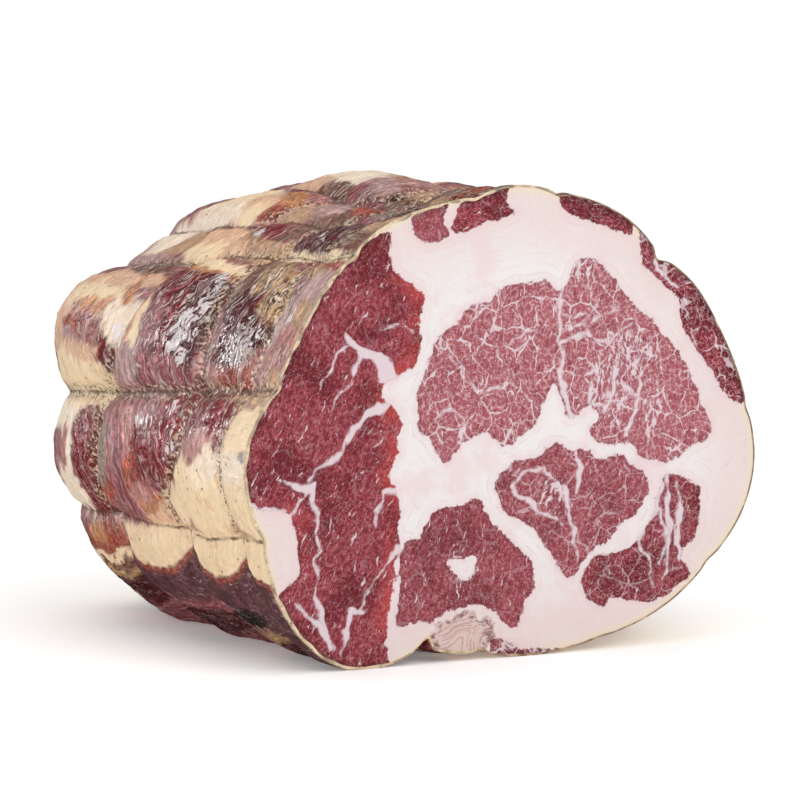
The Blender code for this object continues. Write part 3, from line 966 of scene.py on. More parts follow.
def skin_material():
    """Dried casing over meat and fat, streaked with dry film and marked by the net."""
    material, nodes, shader = new_material("casing")
    see = skin_patterns(nodes)
    colour = streaked_skin(nodes, see, shaded_tint(nodes, see))
    ripple = nodes.times(nodes.field("ripple"), nodes.ramp(see.fine, 0.38, 0.52, 0.20, 1.15))
    ridge = nodes.away_from(see.ripples, 0.5)
    # Painted shade and painted highlight: dark and pale lines along the ripples of the relief.
    ripple_shade = nodes.times(nodes.ramp(ridge, 0.095, 0.050, 0.0, 0.85), ripple)
    ripple_highlight = nodes.times(nodes.ramp(ridge, 0.036, 0.014, 0.0, 0.95), ripple)
    # The white bloom, part dry film and part painted highlight.
    bloom_and_highlight_mask = bloom_and_highlight_share(nodes, see, ripple_shade)
    colour = nodes.layers(colour, (ripple_shade, RIPPLE_SHADE),
                          (ripple_highlight, nodes.mix(RIPPLE_HIGHLIGHT_MIX, see.tint, RIPPLE_HIGHLIGHT)),
                          (nodes.times(bloom_and_highlight_mask, 0.85), BLOOM_AND_HIGHLIGHT))
    nodes.put(shader.inputs["Base Color"], marked_skin(nodes, see, colour))
    rough = nodes.ramp(see.wet, 0.15, 0.9, 0.55, 0.12)
    rough = nodes.times_plus(nodes.minus(see.broad, 0.5), 0.20, rough, clamp=True)
    rough = nodes.plus(rough, nodes.ramp(see.fine, 0.54, 0.60, 0.0, 0.28), clamp=True)
    nodes.put(shader.inputs["Roughness"], nodes.times(rough, nodes.ramp(bloom_and_highlight_mask, 0.0, 1.0, 1.0, 0.7)))
    nodes.put(shader.inputs["Normal"], nodes.bump(skin_height(nodes, see, ripple), 1.0, SKIN_BUMP))
    shader.inputs["Specular IOR Level"].default_value = 0.5
    return material


# Cut face

# Muscles of the cut face: outline points right and up, in millimetres from its middle, then how mauve the
# lean is, how much fine fat nets it, how warm its edge is, and the direction of its fibres in degrees.
MUSCLES = {
    "shoulder_side": ((
        (-27, 41), (-36, 36), (-45, 24), (-52, 12), (-60, -1), (-60, -9), (-58, -15), (-50, -22), (-47, -28),
        (-53, -36), (-45, -47), (-35, -54), (-26, -54), (-27, -43), (-25, -31), (-24, -25), (-24, -20),
        (-23, -16), (-26, -9), (-24, -4), (-24, 3), (-27, 6), (-27.5, 9), (-25, 11), (-20, 14), (-19, 18),
        (-19, 22), (-18, 27), (-21, 30), (-25, 33), (-26, 37),
    ), 0.08, 0.0, 1.0, 62),
    "eye": ((
        (-2, 26.5), (1, 29), (6, 30), (10.5, 30), (14.5, 28), (17.5, 33), (21.5, 35), (25, 33), (29, 29),
        (34, 24), (38, 20.5), (43, 16), (46, 12), (49.5, 5), (52.5, -1), (52.5, -4), (47, -6), (44.5, -8.3),
        (38, -8.7), (34, -7.3), (33, -5), (24, -4), (21.5, -1), (24, 1), (21.7, 3.5), (18, 1.5), (15.5, 3),
        (13.5, 9), (11.5, 6), (9.7, 3.2), (8.2, 0), (4.6, -1.8), (1, -4.4), (-1.5, -2.7), (-4, -0.7),
        (-6, -1.5), (-9.3, -3.4), (-12.6, -6.8), (-15, -5.2), (-17, -2), (-19.3, 0.5), (-19.6, 5.3),
        (-19, 9.5), (-16.8, 14.4), (-15, 18.5), (-12.2, 20.5), (-8.6, 24), (-5, 26),
    ), 0.85, 1.0, 0.0, 80),
    "under_eye": ((
        (-1.4, -12), (1, -9), (4.6, -7), (9.5, -6.7), (11.4, -4.4), (14.3, -3.8), (17.5, -5.5), (22, -6),
        (24.2, -7.5), (29, -7), (32.3, -9.5), (35.6, -11.6), (36.6, -15), (34.4, -19), (30.6, -21.3),
        (28, -24), (25.6, -26), (22, -27.4), (20, -29.5), (18.9, -32.4), (16.9, -32.7), (14.5, -30.4),
        (12.7, -27.8), (10.7, -25.3), (8.3, -22), (4.6, -19.7), (1, -17.4),
    ), 0.42, 0.42, 0.0, 50),
    "lower_side": ((
        (41.4, -11.7), (45.8, -12.9), (49.7, -15.3), (49.5, -20), (49, -24), (48.5, -26.5), (46.4, -27.5),
        (45.2, -30.5), (47.3, -33.4), (43.4, -37), (38.3, -38.8), (33.2, -38.6), (27.4, -37.6), (25.4, -39.4),
        (22, -38), (20.2, -34.6), (21.4, -29.5), (24.4, -28.2), (30.6, -27.5), (34.4, -24.5), (37, -21.4),
        (38.4, -18.2), (39.4, -14.6),
    ), 0.12, 0.34, 0.0, 60),
    "bottom": ((
        (-23, -23.4), (-19.2, -22.4), (-17.8, -19.6), (-15.4, -17), (-12, -16.3), (-7.4, -15.3), (-5, -15.2),
        (-3.1, -18.3), (0, -21.6), (3.4, -25), (6.6, -27.8), (8.3, -32.2), (7.9, -35), (5.4, -37.5),
        (5, -40.8), (3.3, -42.6), (0.6, -41), (-1.6, -38.7), (-5, -37), (-9.7, -37), (-13.3, -38),
        (-15.6, -39.6), (-19.2, -39.8), (-23.4, -41), (-24.5, -39), (-23.8, -32.7),
    ), 0.32, 0.14, 0.0, 75),
    "top": ((
        (-11.3, 41), (-10.8, 43.2), (-9.5, 46.5), (-4, 50), (1.5, 51), (1.8, 46.5), (4.2, 44.3), (0.5, 43.4),
        (-2.5, 42.5), (-9.4, 40.5),
    ), 0.0, 0.1, 0.0, 20),
    "top_left": ((
        (-20.4, 40.5), (-21.2, 43.5), (-18.5, 47), (-13.2, 46.5), (-13.2, 43), (-12.2, 39.6), (-17.3, 38.2),
    ), 0.45, 0.3, 0.0, 20),
    "top_right": ((
        (13, 49), (19, 49), (26, 48), (31, 44.5), (32, 40), (27, 41), (21.5, 43), (16.6, 44.4),
    ), 0.0, 0.15, 0.0, -10),
    "right_rim": ((
        (33.7, 43), (37, 38.5), (41, 35), (47, 33), (52, 28), (56, 22), (60, 15), (63, 9), (63, 3),
        (58.6, 3.3), (55.2, 6), (52.3, 10.4), (48, 15.7), (44.8, 21), (44.2, 25.3), (42, 28), (37.8, 31),
        (34.8, 34),
    ), 0.0, 0.6, 0.0, -50),
    "bottom_rim": ((
        (-2, -44.5), (4, -46.2), (11, -47.4), (18, -47.6), (16, -49), (7, -50), (-1, -50),
    ), 0.5, 0.9, 0.0, 0),
}

# Seams and islands of fat: points right, up and half-width, in millimetres.
SEAMS = (
    ((-27, 6, 1.3), (-30.3, 3.8, 0.9), (-35.3, -0.5, 0.6), (-38.7, -4.2, 0.5), (-41.7, -6.8, 0.35),
     (-44.8, -9.2, 0.6)),
    ((-50.4, -8.4, 0.3), (-47.1, -10.6, 0.9), (-44, -10.8, 1.3), (-43, -14.2, 0.5), (-42.1, -19.3, 0.4),
     (-42.4, -25.4, 0.5), (-42.6, -31.5, 0.3), (-42.4, -36, 0.9), (-40.4, -40.8, 0.5), (-39, -43.6, 0.3)),
    ((-23.8, -23.4, 0.7), (-26.1, -26.3, 0.4), (-29.6, -30.3, 0.3), (-32.1, -34.2, 0.3), (-33.1, -36.6, 0.5)),
    ((-31.2, -36.7, 0.4), (-34.4, -36.5, 1.1), (-36, -39.3, 0.8), (-36.7, -42.5, 0.6), (-37, -45, 0.4)),
    ((-47.1, -34.1, 0.2), (-44.4, -37.1, 0.5), (-41.7, -40.1, 1.1), (-39.9, -43.5, 0.4)),
    ((-24.5, 9.5, 1.8), (-28.4, 13.9, 1.8), (-32.1, 16.5, 1.2), (-36.2, 19.6, 0.4)),
    ((-36.4, 18, 0.6), (-39.1, 13.8, 0.4), (-42.1, 9.4, 0.2)),
    ((-31.6, 16.4, 0.6), (-35.7, 10.5, 0.3), (-39.8, 4.9, 0.2)),
    ((-21, 20, 0.4), (-25, 22, 0.3), (-28.5, 21, 0.2)),
    ((-24, -12.5, 0.8), (-27.5, -12, 0.5), (-28.5, -16, 0.4), (-29, -20, 0.2)),
    ((-44, -11, 0.4), (-47, -14, 0.3), (-48.5, -16.5, 0.5)),
    ((14.4, 30.5, 0.5), (14.7, 20, 0.4), (14.8, 9.4, 0.7), (17.3, 1, 0.8)),
    ((14.7, 20, 0.35), (21.6, 21.4, 0.25), (29.6, 24.2, 0.1)),
    ((14.8, 17, 0.25), (21.6, 18.3, 0.35), (27.8, 17.1, 0.3), (35.4, 16, 0.1)),
    ((24, 13, 0.1), (23, 8, 0.4), (22, 4, 0.5)),
    ((28.5, 14, 0.2), (28, 9, 0.6), (25.5, 2, 0.6)),
    ((36, 12, 0.2), (35, 8, 0.5), (33.5, 3, 0.5), (31, -3, 0.5)),
    ((29, 8, 0.3), (33, 5, 0.4), (38, 4, 0.1)),
    ((4.6, -9.6, 0.3), (3.2, -12.5, 0.6), (5.8, -15.6, 0.7), (10.7, -18.3, 0.6), (14.4, -20.6, 0.3)),
    ((15.6, -13.5, 0.5), (17.1, -20.4, 0.5), (18.9, -29, 0.3)),
    ((4.6, -9.6, 0.4), (10, -8.6, 0.5), (13.5, -12.5, 0.4), (15.8, -16, 0.5)),
    ((18.5, -6, 0.7), (19, -9.8, 0.9), (18.6, -14.5, 0.3)),
    ((37.4, -12.5, 1.0), (36.5, -17.5, 0.8), (33, -22.5, 0.8), (28, -26.3, 0.6), (22, -29, 0.5)),
    ((41.5, -17.3, 0.7), (42.5, -21.7, 0.6), (43.6, -26, 0.2)),
    ((39, -19, 0.4), (41, -24, 0.5), (42, -30, 0.4), (40, -35, 0.2)),
    ((-12.5, -27.2, 0.3), (-9, -26.6, 0.4), (-6, -26.9, 0.3), (-6, -31, 0.2)),
    ((41.2, -12, 0.5), (41.8, -20, 0.7), (41.8, -27, 0.5), (39.5, -31, 0.2)),
    ((44.6, -14, 0.4), (44.3, -21, 0.8), (44.6, -27, 0.9), (44.9, -30, 0.6)),
    ((21.8, -29.4, 0.4), (22.1, -27.7, 0.6), (28.9, -26.2, 0.7), (34, -25.7, 0.6), (37.4, -21.6, 0.9),
     (39.9, -14.4, 0.8)),
    ((34, -25.7, 0.3), (36.6, -29.6, 0.4), (37.5, -37, 0.2)),
    ((14.5, 22.6, 0.3), (22.7, 24.2, 0.25), (27.3, 24.6, 0.1)),
    ((14.5, 17, 0.35), (19.2, 18.4, 0.4), (24.4, 18, 0.3), (29.5, 18.8, 0.3), (32.6, 20.6, 0.2)),
    ((21.1, 18.1, 0.3), (20.1, 21.3, 0.25), (22.7, 24.2, 0.3), (24.8, 28.5, 0.1)),
    ((27.3, 24.6, 0.2), (29.5, 18.8, 0.3), (30.5, 14, 0.15)),
    ((-11.9, 21.5, 0.1), (-6.5, 23.5, 0.3), (-1.6, 26, 0.2)),
    ((-15, 16.4, 0.2), (-10, 14, 0.3), (-8, 9.7, 0.3), (-5, 7.1, 0.4), (1.9, 9.4, 0.3), (7, 5.4, 0.4)),
    ((3.9, 22.4, 0.1), (5.5, 20.6, 0.5), (9.4, 19.2, 0.1)),
    ((5.5, 20.6, 0.4), (1.4, 16.4, 0.1)),
    ((2.4, 8.9, 0.2), (1.9, 11.2, 0.2), (0.2, 13.5, 0.1)),
    ((-16.5, 2, 0.2), (-12, 4.5, 0.3), (-9, 1.5, 0.4), (-8.8, -2.5, 0.3)),
    ((-12, 4.5, 0.2), (-12.5, 9, 0.1)),
    ((37.8, 34.2, 0.6), (39.6, 31, 0.6), (43.2, 28.5, 0.5)),
    ((-58.2, -13.8, 0.9), (-54.5, -15.2, 1.2), (-50.5, -15.6, 1.3)),
)
POCKETS = (
    ((-62, -14.5), (-53.3, -15), (-49.5, -15.5), (-47.5, -19), (-47.1, -25), (-48.7, -29.5), (-52, -29.5),
     (-60, -27)),
    ((-12.6, -27.1), (-9.3, -27.2), (-5.9, -26.8), (-6.2, -29.2), (-7.6, -31.8), (-9.3, -31.2),
     (-11.9, -29.0)),
)
# Dry, stringy tissue in the fold at the bottom.
GRISTLE = (
    (-18.2, -45), (-15.5, -40.5), (-13.4, -38.8), (-9.3, -37.3), (-4.5, -38.3), (-2.1, -39.5), (-0.8, -42.5),
    (-2.5, -46), (-8.5, -50), (-15, -49),
)

# Where the lean is broken up by streaks of fat: middle right and up, half-width and half-height.
STREAKY_ZONES = ((27, 9, 5, 9), (34, 14, 5, 4), (20, 31, 4, 3), (38, 2, 3, 6), (12, -14, 4, 3),
                 (-8, -30, 3, 2))
# Points added to each stretch of an outline, the parts in which distances to it are worked out, and how far
# from it, in millimetres, they are.
OUTLINE_STEPS = 5
OUTLINE_CHUNKS = 12
NEAR_MUSCLE = 7.0
# Half the side of the grid that the face is cut from, its gap to the skin, and the most that is counted as the
# distance to the rim.
FACE_REACH = 68.0
FACE_INSET = 0.25
DEEPEST_RIM = 30.0
# Relief of the cut surface: grain in millimetres, octaves, seed and height, then the share of the grain that
# fat has, the width over which the relief sets in from the rim, and how low the lean and the whole face lie.
FACE_WAVES = (16.0, 2, 5.0, 0.22)
FACE_GRAIN = (1.6, 2, 6.0, 0.10)
FAT_GRAIN = 0.3
FACE_SETTLE = 2.5
LEAN_SUNK = 0.28
FACE_SUNK = 0.1


def smooth_loop(points):
    """A closed outline rounded through its points."""
    points = np.array(points, float)
    before, after, next_after = np.roll(points, 1, 0), np.roll(points, -1, 0), np.roll(points, -2, 0)
    rounds = []
    for step in np.arange(OUTLINE_STEPS) / OUTLINE_STEPS:
        rounds.append(0.5 * (2 * points + (after - before) * step
                             + (2 * before - 5 * points + 4 * after - next_after) * step ** 2
                             + (3 * points - before - 3 * after + next_after) * step ** 3))
    return np.stack(rounds, axis=1).reshape(-1, 2)


def inside_distance(places, outline):
    """Distance to an outline, positive inside it."""
    start = outline[None, :, :]
    end = np.roll(outline, -1, axis=0)[None, :, :]
    place = places[:, None, :]
    along = end - start
    share = np.clip(((place - start) * along).sum(-1) / (along ** 2).sum(-1), 0.0, 1.0)
    gap = np.sqrt((((start + along * share[..., None]) - place) ** 2).sum(-1)).min(axis=1)
    crosses = (start[..., 1] > place[..., 1]) != (end[..., 1] > place[..., 1])
    climb = np.where(along[..., 1] == 0, 1e-9, along[..., 1])
    reach = start[..., 0] + along[..., 0] * (place[..., 1] - start[..., 1]) / climb
    inside = (crosses & (place[..., 0] < reach)).sum(axis=1) % 2 == 1
    return np.where(inside, gap, -gap)


def outline_field(places, points):
    """Distance inside a smooth outline, worked out near it only."""
    outline = smooth_loop(points)
    near = np.all((places > outline.min(0) - NEAR_MUSCLE) & (places < outline.max(0) + NEAR_MUSCLE), axis=1)
    field = np.full(len(places), -NEAR_MUSCLE)
    for chunk in np.array_split(np.flatnonzero(near), OUTLINE_CHUNKS):
        field[chunk] = inside_distance(places[chunk], outline)
    return field


def seam_field(places, seam):
    """Distance to a seam of fat less its half-width, so it is below 0 inside the fat."""
    points = np.array(seam, float)
    field = np.full(len(places), NEAR_MUSCLE)
    for start, end in zip(points[:-1], points[1:]):
        along = end[:2] - start[:2]
        share = np.clip((places - start[:2]) @ along / (along @ along), 0.0, 1.0)
        gap = np.hypot(*(places - start[:2] - share[:, None] * along).T)
        field = np.minimum(field, gap - (start[2] + (end[2] - start[2]) * share))
    return field


def wandering(places, grain, amount, seed):
    """Places on the face pushed about by noise, so that seams drawn through them wander."""
    flat = np.stack([places[:, 0], np.zeros(len(places)), places[:, 1]], axis=-1) / grain
    return places + amount * np.stack([noise_at(flat, 1, seed), noise_at(flat, 1, seed + 1.0)], axis=-1)


def make_face():
    """The cut face: a fine grid trimmed to the edge, with slight relief between lean and fat."""
    line = np.arange(-FACE_REACH, FACE_REACH + FACE_SPACING, FACE_SPACING)
    right, up = (part.ravel() for part in np.meshgrid(line, line))
    angle = np.degrees(np.arctan2(up, right))
    distance = np.hypot(right, up)
    rim = np.linspace(0.0, 360.0, 1441)
    edge = skin_point(rim, np.zeros_like(rim))
    limit = np.interp(angle, rim, np.hypot(edge[:, 0], edge[:, 2]), period=360.0) - FACE_INSET
    outside = distance > limit
    pull = np.where(outside, limit / np.maximum(distance, 1e-6), 1.0)
    places = np.stack([right * pull, up * pull], axis=-1)
    side = len(line)
    faces = []
    outside_grid = outside.reshape(side, side)
    for row in range(side - 1):
        for column in range(side - 1):
            if outside_grid[row:row + 2, column:column + 2].all():
                continue
            corner = row * side + column
            faces.append((corner, corner + 1, corner + side + 1, corner + side))
    used = np.unique(np.array(faces))
    index = np.full(len(places), -1)
    index[used] = np.arange(len(used))
    places = places[used]
    faces = index[np.array(faces)]
    to_rim = np.minimum(limit[used] - np.hypot(*places.T), DEEPEST_RIM)
    fields, fibre = face_fields(places, to_rim)
    relief = face_relief(places, fields)
    points = np.stack([places[:, 0], -relief, places[:, 1]], axis=-1)
    piece = mesh_object("cut_face", points, faces.tolist(), face_material())
    for name, values in fields.items():
        add_field(piece.data, name, values)
    add_vector_field(piece.data, "fibre", fibre)
    return piece


def face_fields(places, to_rim):
    """Where lean and fat lie on the cut face, and how each muscle looks."""
    lean = np.full(len(places), -NEAR_MUSCLE)
    tone = np.zeros(len(places))
    net = np.zeros(len(places))
    warm = np.zeros(len(places))
    turn = np.zeros(len(places))
    wavy = wandering(places, 5.0, 0.7, 20.0)
    for points, mauve, netted, warm_edge, fibres in MUSCLES.values():
        field = outline_field(wavy, points)
        here = smoothstep(-2.0, 0.5, field)
        tone += (mauve - tone) * here
        net += (netted - net) * here
        warm += (warm_edge - warm) * here
        turn = np.where(field > -1.5, math.radians(fibres), turn)
        lean = np.maximum(lean, field)
    for points in POCKETS:
        lean = np.minimum(lean, -outline_field(places, points))
    wavy = wandering(wandering(places, 4.0, 1.3, 30.0), 1.5, 0.6, 32.0)
    seam = np.minimum.reduce([seam_field(wavy, seam) for seam in SEAMS])
    streaky = np.zeros(len(places))
    for right, up, half_width, half_height in STREAKY_ZONES:
        offset = (wavy - (right, up)) / (half_width, half_height)
        streaky += np.exp(-(offset ** 2).sum(axis=1))
    gristle = smoothstep(-1.5, 5.0, outline_field(wavy, GRISTLE))
    across = places[:, 0] * np.sin(turn) - places[:, 1] * np.cos(turn)
    along = places[:, 0] * np.cos(turn) + places[:, 1] * np.sin(turn)
    fibre = np.stack([across, along, np.zeros(len(places))], axis=-1)
    numbers = {"lean": lean, "seam": seam, "tone": tone, "net": net, "warm": warm, "rim": to_rim,
               "streaky": streaky, "gristle": gristle}
    return numbers, fibre


def face_relief(places, fields):
    """Height of the cut surface: the fat stands a little proud of the drier lean."""
    flat = np.stack([places[:, 0], np.zeros(len(places)), places[:, 1]], axis=-1)
    lean = smoothstep(-0.6, 0.9, np.minimum(fields["lean"], fields["seam"]))
    grain = rough(flat, FACE_GRAIN) * (FAT_GRAIN + (1.0 - FAT_GRAIN) * lean)
    settle = smoothstep(0.0, FACE_SETTLE, fields["rim"])
    return (rough(flat, FACE_WAVES) + grain - LEAN_SUNK * lean) * settle - FACE_SUNK


# Cut face colours, linear.
LEAN = (0.268, 0.018, 0.034)
LEAN_DEEP = (0.105, 0.007, 0.012)
LEAN_LIGHT = (0.410, 0.085, 0.108)
MAUVE = (0.395, 0.098, 0.122)
MAUVE_LIGHT = (0.500, 0.200, 0.225)
WARM_EDGE = (0.500, 0.055, 0.045)
RIM_LEAN = (0.070, 0.010, 0.013)
FAT = (0.800, 0.765, 0.755)
FAT_PINK = (0.790, 0.660, 0.665)
FAT_OUTER = (0.760, 0.630, 0.605)
FAT_STREAK = (0.740, 0.520, 0.550)
FAT_YELLOW = (0.830, 0.720, 0.500)
NET_FAT = (0.760, 0.540, 0.555)
SEAM_FAT = (0.740, 0.630, 0.665)
GRISTLE_DARK = (0.215, 0.085, 0.088)
GRISTLE_PALE = (0.680, 0.520, 0.480)
FACE_BUMP = 0.0003


def face_patterns(nodes):
    """Fields and noises that lean and fat share."""
    place = nodes.millimetres()
    see = SimpleNamespace(
        place=place,
        fibre=nodes.field("fibre", "Vector"),
        broad=nodes.noise(place, 0.09, 3.0, 0.55),
        middle=nodes.noise(place, 0.45, 4.0, 0.6),
        fine=nodes.noise(place, 1.3, 4.0, 0.7),
        tiny=nodes.noise(place, 3.6, 2.0, 0.6),
        patchy=nodes.noise(place, 0.24, 3.0, 0.6),
        net=nodes.field("net"),
        rim=nodes.field("rim"),
        streaky=nodes.field("streaky"),
        lean_field=nodes.field("lean"),
    )
    see.wobble = nodes.plus(nodes.off_centre(see.middle, 2.4), nodes.off_centre(see.fine, 1.4))
    see.lean_edge = nodes.plus(see.lean_field, see.wobble)
    contour = nodes.made("CombineXYZ", {
        "X": nodes.times_plus(see.lean_field, 1.1, nodes.off_centre(see.middle, 1.2)),
        "Y": nodes.times(see.broad, 3.0)})
    see.contour_streak = nodes.noise(contour, 1.3, 3.0, 0.6)
    return see


def lean_colour(nodes, see):
    """Lean with its fibres and grain, mauve in some muscles, warm or dark along its edges."""
    strands = nodes.noise(nodes.stretched(see.fibre, 1.5, 0.30, 1.0), 1.0, 3.0, 0.6, 0.4)
    threads = nodes.noise(nodes.stretched(see.fibre, 2.4, 0.6, 1.0), 1.0, 3.0, 0.65, 0.3)
    mauve = nodes.mix(nodes.ramp(see.fine, 0.44, 0.66), MAUVE, MAUVE_LIGHT)
    mauve_share = nodes.plus(nodes.off_centre(see.broad, 0.8), nodes.field("tone"), clamp=True)
    warm = nodes.times(nodes.ramp(see.lean_edge, 5.0, 0.2), nodes.field("warm"),
                       nodes.ramp(see.rim, 5.0, 12.0, 0.0, 0.65),
                       nodes.ramp(see.broad, 0.36, 0.60, 0.25, 1.0))
    dark_edge = nodes.times(nodes.ramp(see.lean_edge, 0.75, 0.25, 0.0, 0.30), nodes.ramp(warm, 0.3, 0.0))
    return nodes.layers(LEAN,
                        (nodes.ramp(threads, 0.45, 0.63, 0.0, 0.95), LEAN_LIGHT),
                        (nodes.ramp(see.fine, 0.54, 0.40, 0.0, 0.75), LEAN_DEEP),
                        (nodes.ramp(see.broad, 0.54, 0.40, 0.0, 0.55), LEAN_DEEP),
                        (mauve_share, mauve),
                        (nodes.ramp(strands, 0.46, 0.36, 0.0, 0.45), LEAN_DEEP),
                        (warm, WARM_EDGE),
                        (nodes.ramp(see.rim, 2.0, 0.3, 0.0, 0.6), RIM_LEAN),
                        (dark_edge, LEAN_DEEP))


def marbled(nodes, see, lean):
    """Fine fat in the lean: flecks, dashes along the fibres, a broken net of two sizes, and streaks."""
    wander = nodes.warped(nodes.warped(see.place, 0.30, 2.2), 1.1, 0.45)
    wide_width = nodes.ramp(see.patchy, 0.40, 0.68, 0.003, 0.065)
    wide_cells = nodes.cells(wander, 0.22, "DISTANCE_TO_EDGE")
    wide_net = nodes.times(nodes.ramp(nodes.math("DIVIDE", wide_cells, wide_width), 1.3, 0.2),
                           nodes.ramp(see.net, 0.0, 0.9, 0.10, 0.85),
                           nodes.ramp(see.patchy, 0.36, 0.52, 0.35, 1.0))
    small_width = nodes.ramp(see.fine, 0.42, 0.62, 0.02, 0.16)
    small_net = nodes.times(nodes.ramp(nodes.cells(wander, 0.55, "DISTANCE_TO_EDGE"), small_width, 0.0),
                            nodes.ramp(see.net, 0.1, 1.0, 0.05, 0.45))

    def along_fibres(scale, push, across, along, detail, rough):
        """Noise drawn out along the fibres, which it follows in waves."""
        return nodes.noise(nodes.stretched(nodes.warped(see.fibre, scale, push), across, along, 1.0),
                           1.0, detail, rough)

    dashes = nodes.times(nodes.ramp(along_fibres(0.25, 2.0, 3.0, 0.5, 2.0, 0.6), 0.63, 0.71),
                         nodes.ramp(see.middle, 0.44, 0.60, 0.05, 0.85))
    strokes = nodes.times(nodes.ramp(along_fibres(0.2, 3.0, 1.3, 0.24, 3.0, 0.6), 0.63, 0.69),
                          nodes.ramp(see.patchy, 0.38, 0.54, 0.0, 0.9))
    flecks = nodes.times(nodes.ramp(see.tiny, 0.56, 0.67), nodes.ramp(see.fine, 0.44, 0.60, 0.1, 0.7),
                         nodes.ramp(see.net, 0.0, 0.3, 0.55, 1.0))
    streaks = nodes.times_plus(see.streaky, 0.09, along_fibres(0.35, 2.4, 1.1, 0.36, 4.0, 0.65))
    streak_share = nodes.times(nodes.ramp(streaks, 0.57, 0.66, 0.0, 0.85), nodes.ramp(see.streaky, 0.1, 0.5))
    return nodes.layers(lean, (flecks, NET_FAT), (dashes, NET_FAT), (strokes, SEAM_FAT), (small_net, NET_FAT),
                        (wide_net, SEAM_FAT), (streak_share, SEAM_FAT))


def fat_colour(nodes, see):
    """Fat, with faint streaks that follow the muscles' edges."""
    return nodes.layers(FAT,
                        (nodes.ramp(see.broad, 0.46, 0.64), FAT_PINK),
                        (nodes.ramp(see.rim, 20.0, 4.0, 0.0, 0.8), FAT_OUTER),
                        (nodes.ramp(see.contour_streak, 0.56, 0.70, 0.0, 0.5), FAT_STREAK),
                        (nodes.ramp(see.lean_edge, -2.0, -0.1, 0.0, 0.35), FAT_STREAK),
                        (nodes.ramp(see.rim, 2.2, 0.2, 0.0, 0.6), FAT_YELLOW),
                        (nodes.ramp(see.fine, 0.56, 0.72, 0.0, 0.25), FAT_STREAK))


def gristle_layer(nodes, see):
    """Where the stringy tissue at the bottom edge lies, and its colour."""
    strings = nodes.noise(nodes.stretched(nodes.warped(see.place, 0.22, 7.0), 0.6, 1.0, 0.9),
                          0.55, 4.0, 0.65, 1.6)
    inside = nodes.plus(nodes.field("gristle"), nodes.off_centre(see.middle, 0.7))
    core = nodes.ramp(nodes.times_plus(strings, 2.2, inside), 1.30, 1.75)
    colour = nodes.layers(GRISTLE_DARK, (core, GRISTLE_PALE),
                          (nodes.ramp(see.contour_streak, 0.50, 0.42, 0.0, 0.35), LEAN))
    return nodes.ramp(inside, 0.25, 0.45, 0.0, 0.95), colour


def face_material():
    """Lean muscles netted with fine fat, in pale fat, cut with a knife and slightly moist."""
    material, nodes, shader = new_material("cut_face")
    see = face_patterns(nodes)
    lean = marbled(nodes, see, lean_colour(nodes, see))
    lean_share = nodes.ramp(see.lean_edge, -0.16, 0.20)
    seam_wobble = nodes.times_plus(see.wobble, 0.5, 0.12)
    seam = nodes.ramp(nodes.plus(nodes.field("seam"), seam_wobble), 0.30, -0.30, 0.0, 0.92)
    colour = nodes.layers(fat_colour(nodes, see), (lean_share, lean),
                          (nodes.times(seam, lean_share), SEAM_FAT), gristle_layer(nodes, see))
    nodes.put(shader.inputs["Base Color"], colour)
    height = nodes.times_plus(see.tiny, 0.4, see.fine)
    nodes.put(shader.inputs["Normal"], nodes.bump(height, 0.4, FACE_BUMP))
    nodes.put(shader.inputs["Roughness"], nodes.ramp(see.fine, 0.3, 0.7, 0.42, 0.62))
    shader.inputs["Specular IOR Level"].default_value = 0.15
    shader.inputs["Subsurface Weight"].default_value = 0.05
    shader.inputs["Subsurface Radius"].default_value = (0.004, 0.002, 0.0015)
    shader.inputs["Subsurface Scale"].default_value = 0.3
    return material


# Surroundings

def make_floor():
    """Plain white floor that runs far behind the meat."""
    bpy.ops.mesh.primitive_plane_add(size=60.0, location=(0.0, 0.0, 0.0))
    floor = bpy.context.active_object
    floor.name = "floor"
    material, _, shader = new_material("floor")
    shader.inputs["Base Color"].default_value = (0.98, 0.98, 0.98, 1.0)
    shader.inputs["Emission Color"].default_value = (1.0, 1.0, 1.0, 1.0)
    shader.inputs["Emission Strength"].default_value = FLOOR_GLOW
    shader.inputs["Roughness"].default_value = 0.9
    floor.data.materials.append(material)
    floor.visible_glossy = False


def make_light(name, place, size, power, gloss_only=False):
    """A soft area light aimed at the meat."""
    data = bpy.data.lights.new(name, "AREA")
    data.shape = "RECTANGLE"
    data.size, data.size_y = size
    data.energy = power
    light = bpy.data.objects.new(name, data)
    light.location = place
    light.visible_diffuse = not gloss_only
    aim = Vector((0.0, 0.0, 0.05)) - Vector(place)
    light.rotation_euler = aim.to_track_quat("-Z", "Y").to_euler()
    bpy.context.scene.collection.objects.link(light)


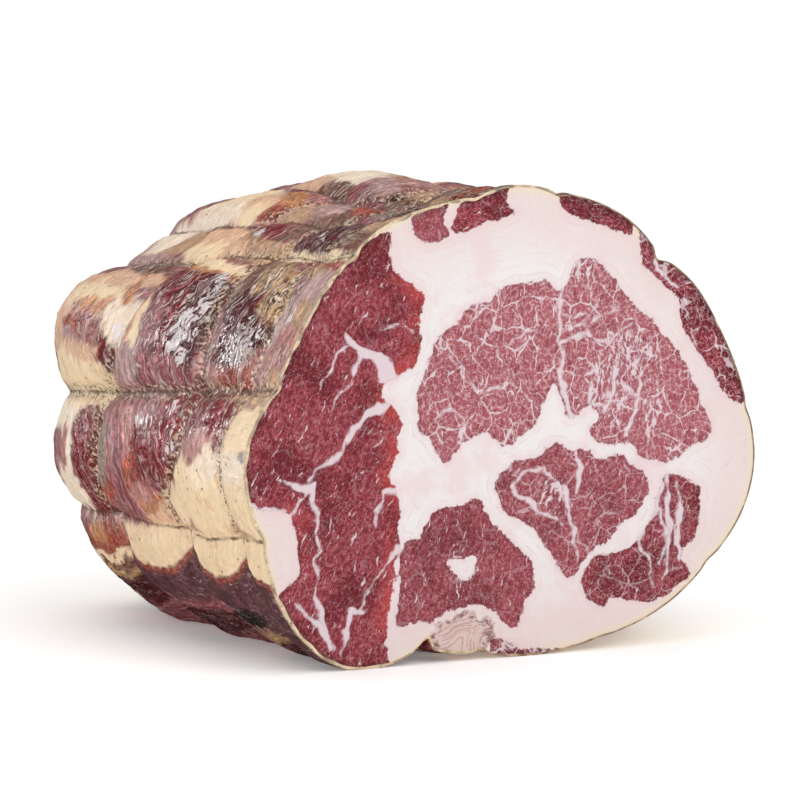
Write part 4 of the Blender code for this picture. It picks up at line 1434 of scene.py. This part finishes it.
def make_world():
    """Soft white studio light, brighter from above, on a white ground."""
    world = bpy.data.worlds.new("studio")
    world.use_nodes = True
    nodes = Nodes(world.node_tree)
    background = world.node_tree.nodes["Background"]
    height = nodes.part(nodes.made("TexCoord", {}, "Generated"), "Z")
    above = nodes.ramp(height, 0.0, 1.0, SKY_AT_HORIZON, SKY_OVERHEAD)
    in_gloss = nodes.made("LightPath", {}, "Is Glossy Ray")
    above = nodes.times(above, nodes.ramp(in_gloss, 0.0, 1.0, 1.0, SKY_IN_GLOSS))
    seen = nodes.made("LightPath", {}, "Is Camera Ray")
    nodes.put(background.inputs["Color"], (1.0, 1.0, 1.0))
    nodes.put(background.inputs["Strength"], nodes.math("MAXIMUM", above, seen))
    bpy.context.scene.world = world


def make_lights():
    """A broad front light, a low light from the left, and two window-like lights low behind on the left."""
    make_light("front", (0.15, -1.1, 0.75), (0.9, 0.7), 4.2)
    make_light("window", (-0.78, 0.82, 0.42), (0.42, 0.26), 6.0, gloss_only=True)
    make_light("low_window", (-0.84, 0.84, 0.10), (0.36, 0.12), 1.2, gloss_only=True)
    make_light("left", (-1.2, -0.3, 0.22), (0.8, 0.5), 2.6)


def make_camera():
    """Camera at the photograph's angle and distance."""
    azimuth, elevation = math.radians(CAMERA_AZIMUTH), math.radians(CAMERA_ELEVATION)
    target = (FACE_MIDDLE + np.array([CAMERA_TARGET[0], 0.0, CAMERA_TARGET[1]])) * MM
    back = np.array([math.sin(azimuth) * math.cos(elevation), -math.cos(azimuth) * math.cos(elevation),
                     math.sin(elevation)])
    data = bpy.data.cameras.new("camera")
    data.sensor_width = SENSOR_WIDTH
    data.lens = FOCAL_PIXELS / FRAME_PIXELS * SENSOR_WIDTH
    data.clip_start = 0.05
    camera = bpy.data.objects.new("camera", data)
    camera.location = target + back * CAMERA_DISTANCE * MM
    camera.rotation_euler = Vector(-back).to_track_quat("-Z", "Y").to_euler()
    bpy.context.scene.collection.objects.link(camera)
    bpy.context.scene.camera = camera


def main():
    bpy.context.scene.view_settings.view_transform = "Standard"
    casing = make_skin()
    cut_face = make_face()
    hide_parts("cured_collar")
    for piece in (casing, cut_face):
        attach(piece, "root")
    make_floor()
    make_world()
    make_lights()
    make_camera()


main()
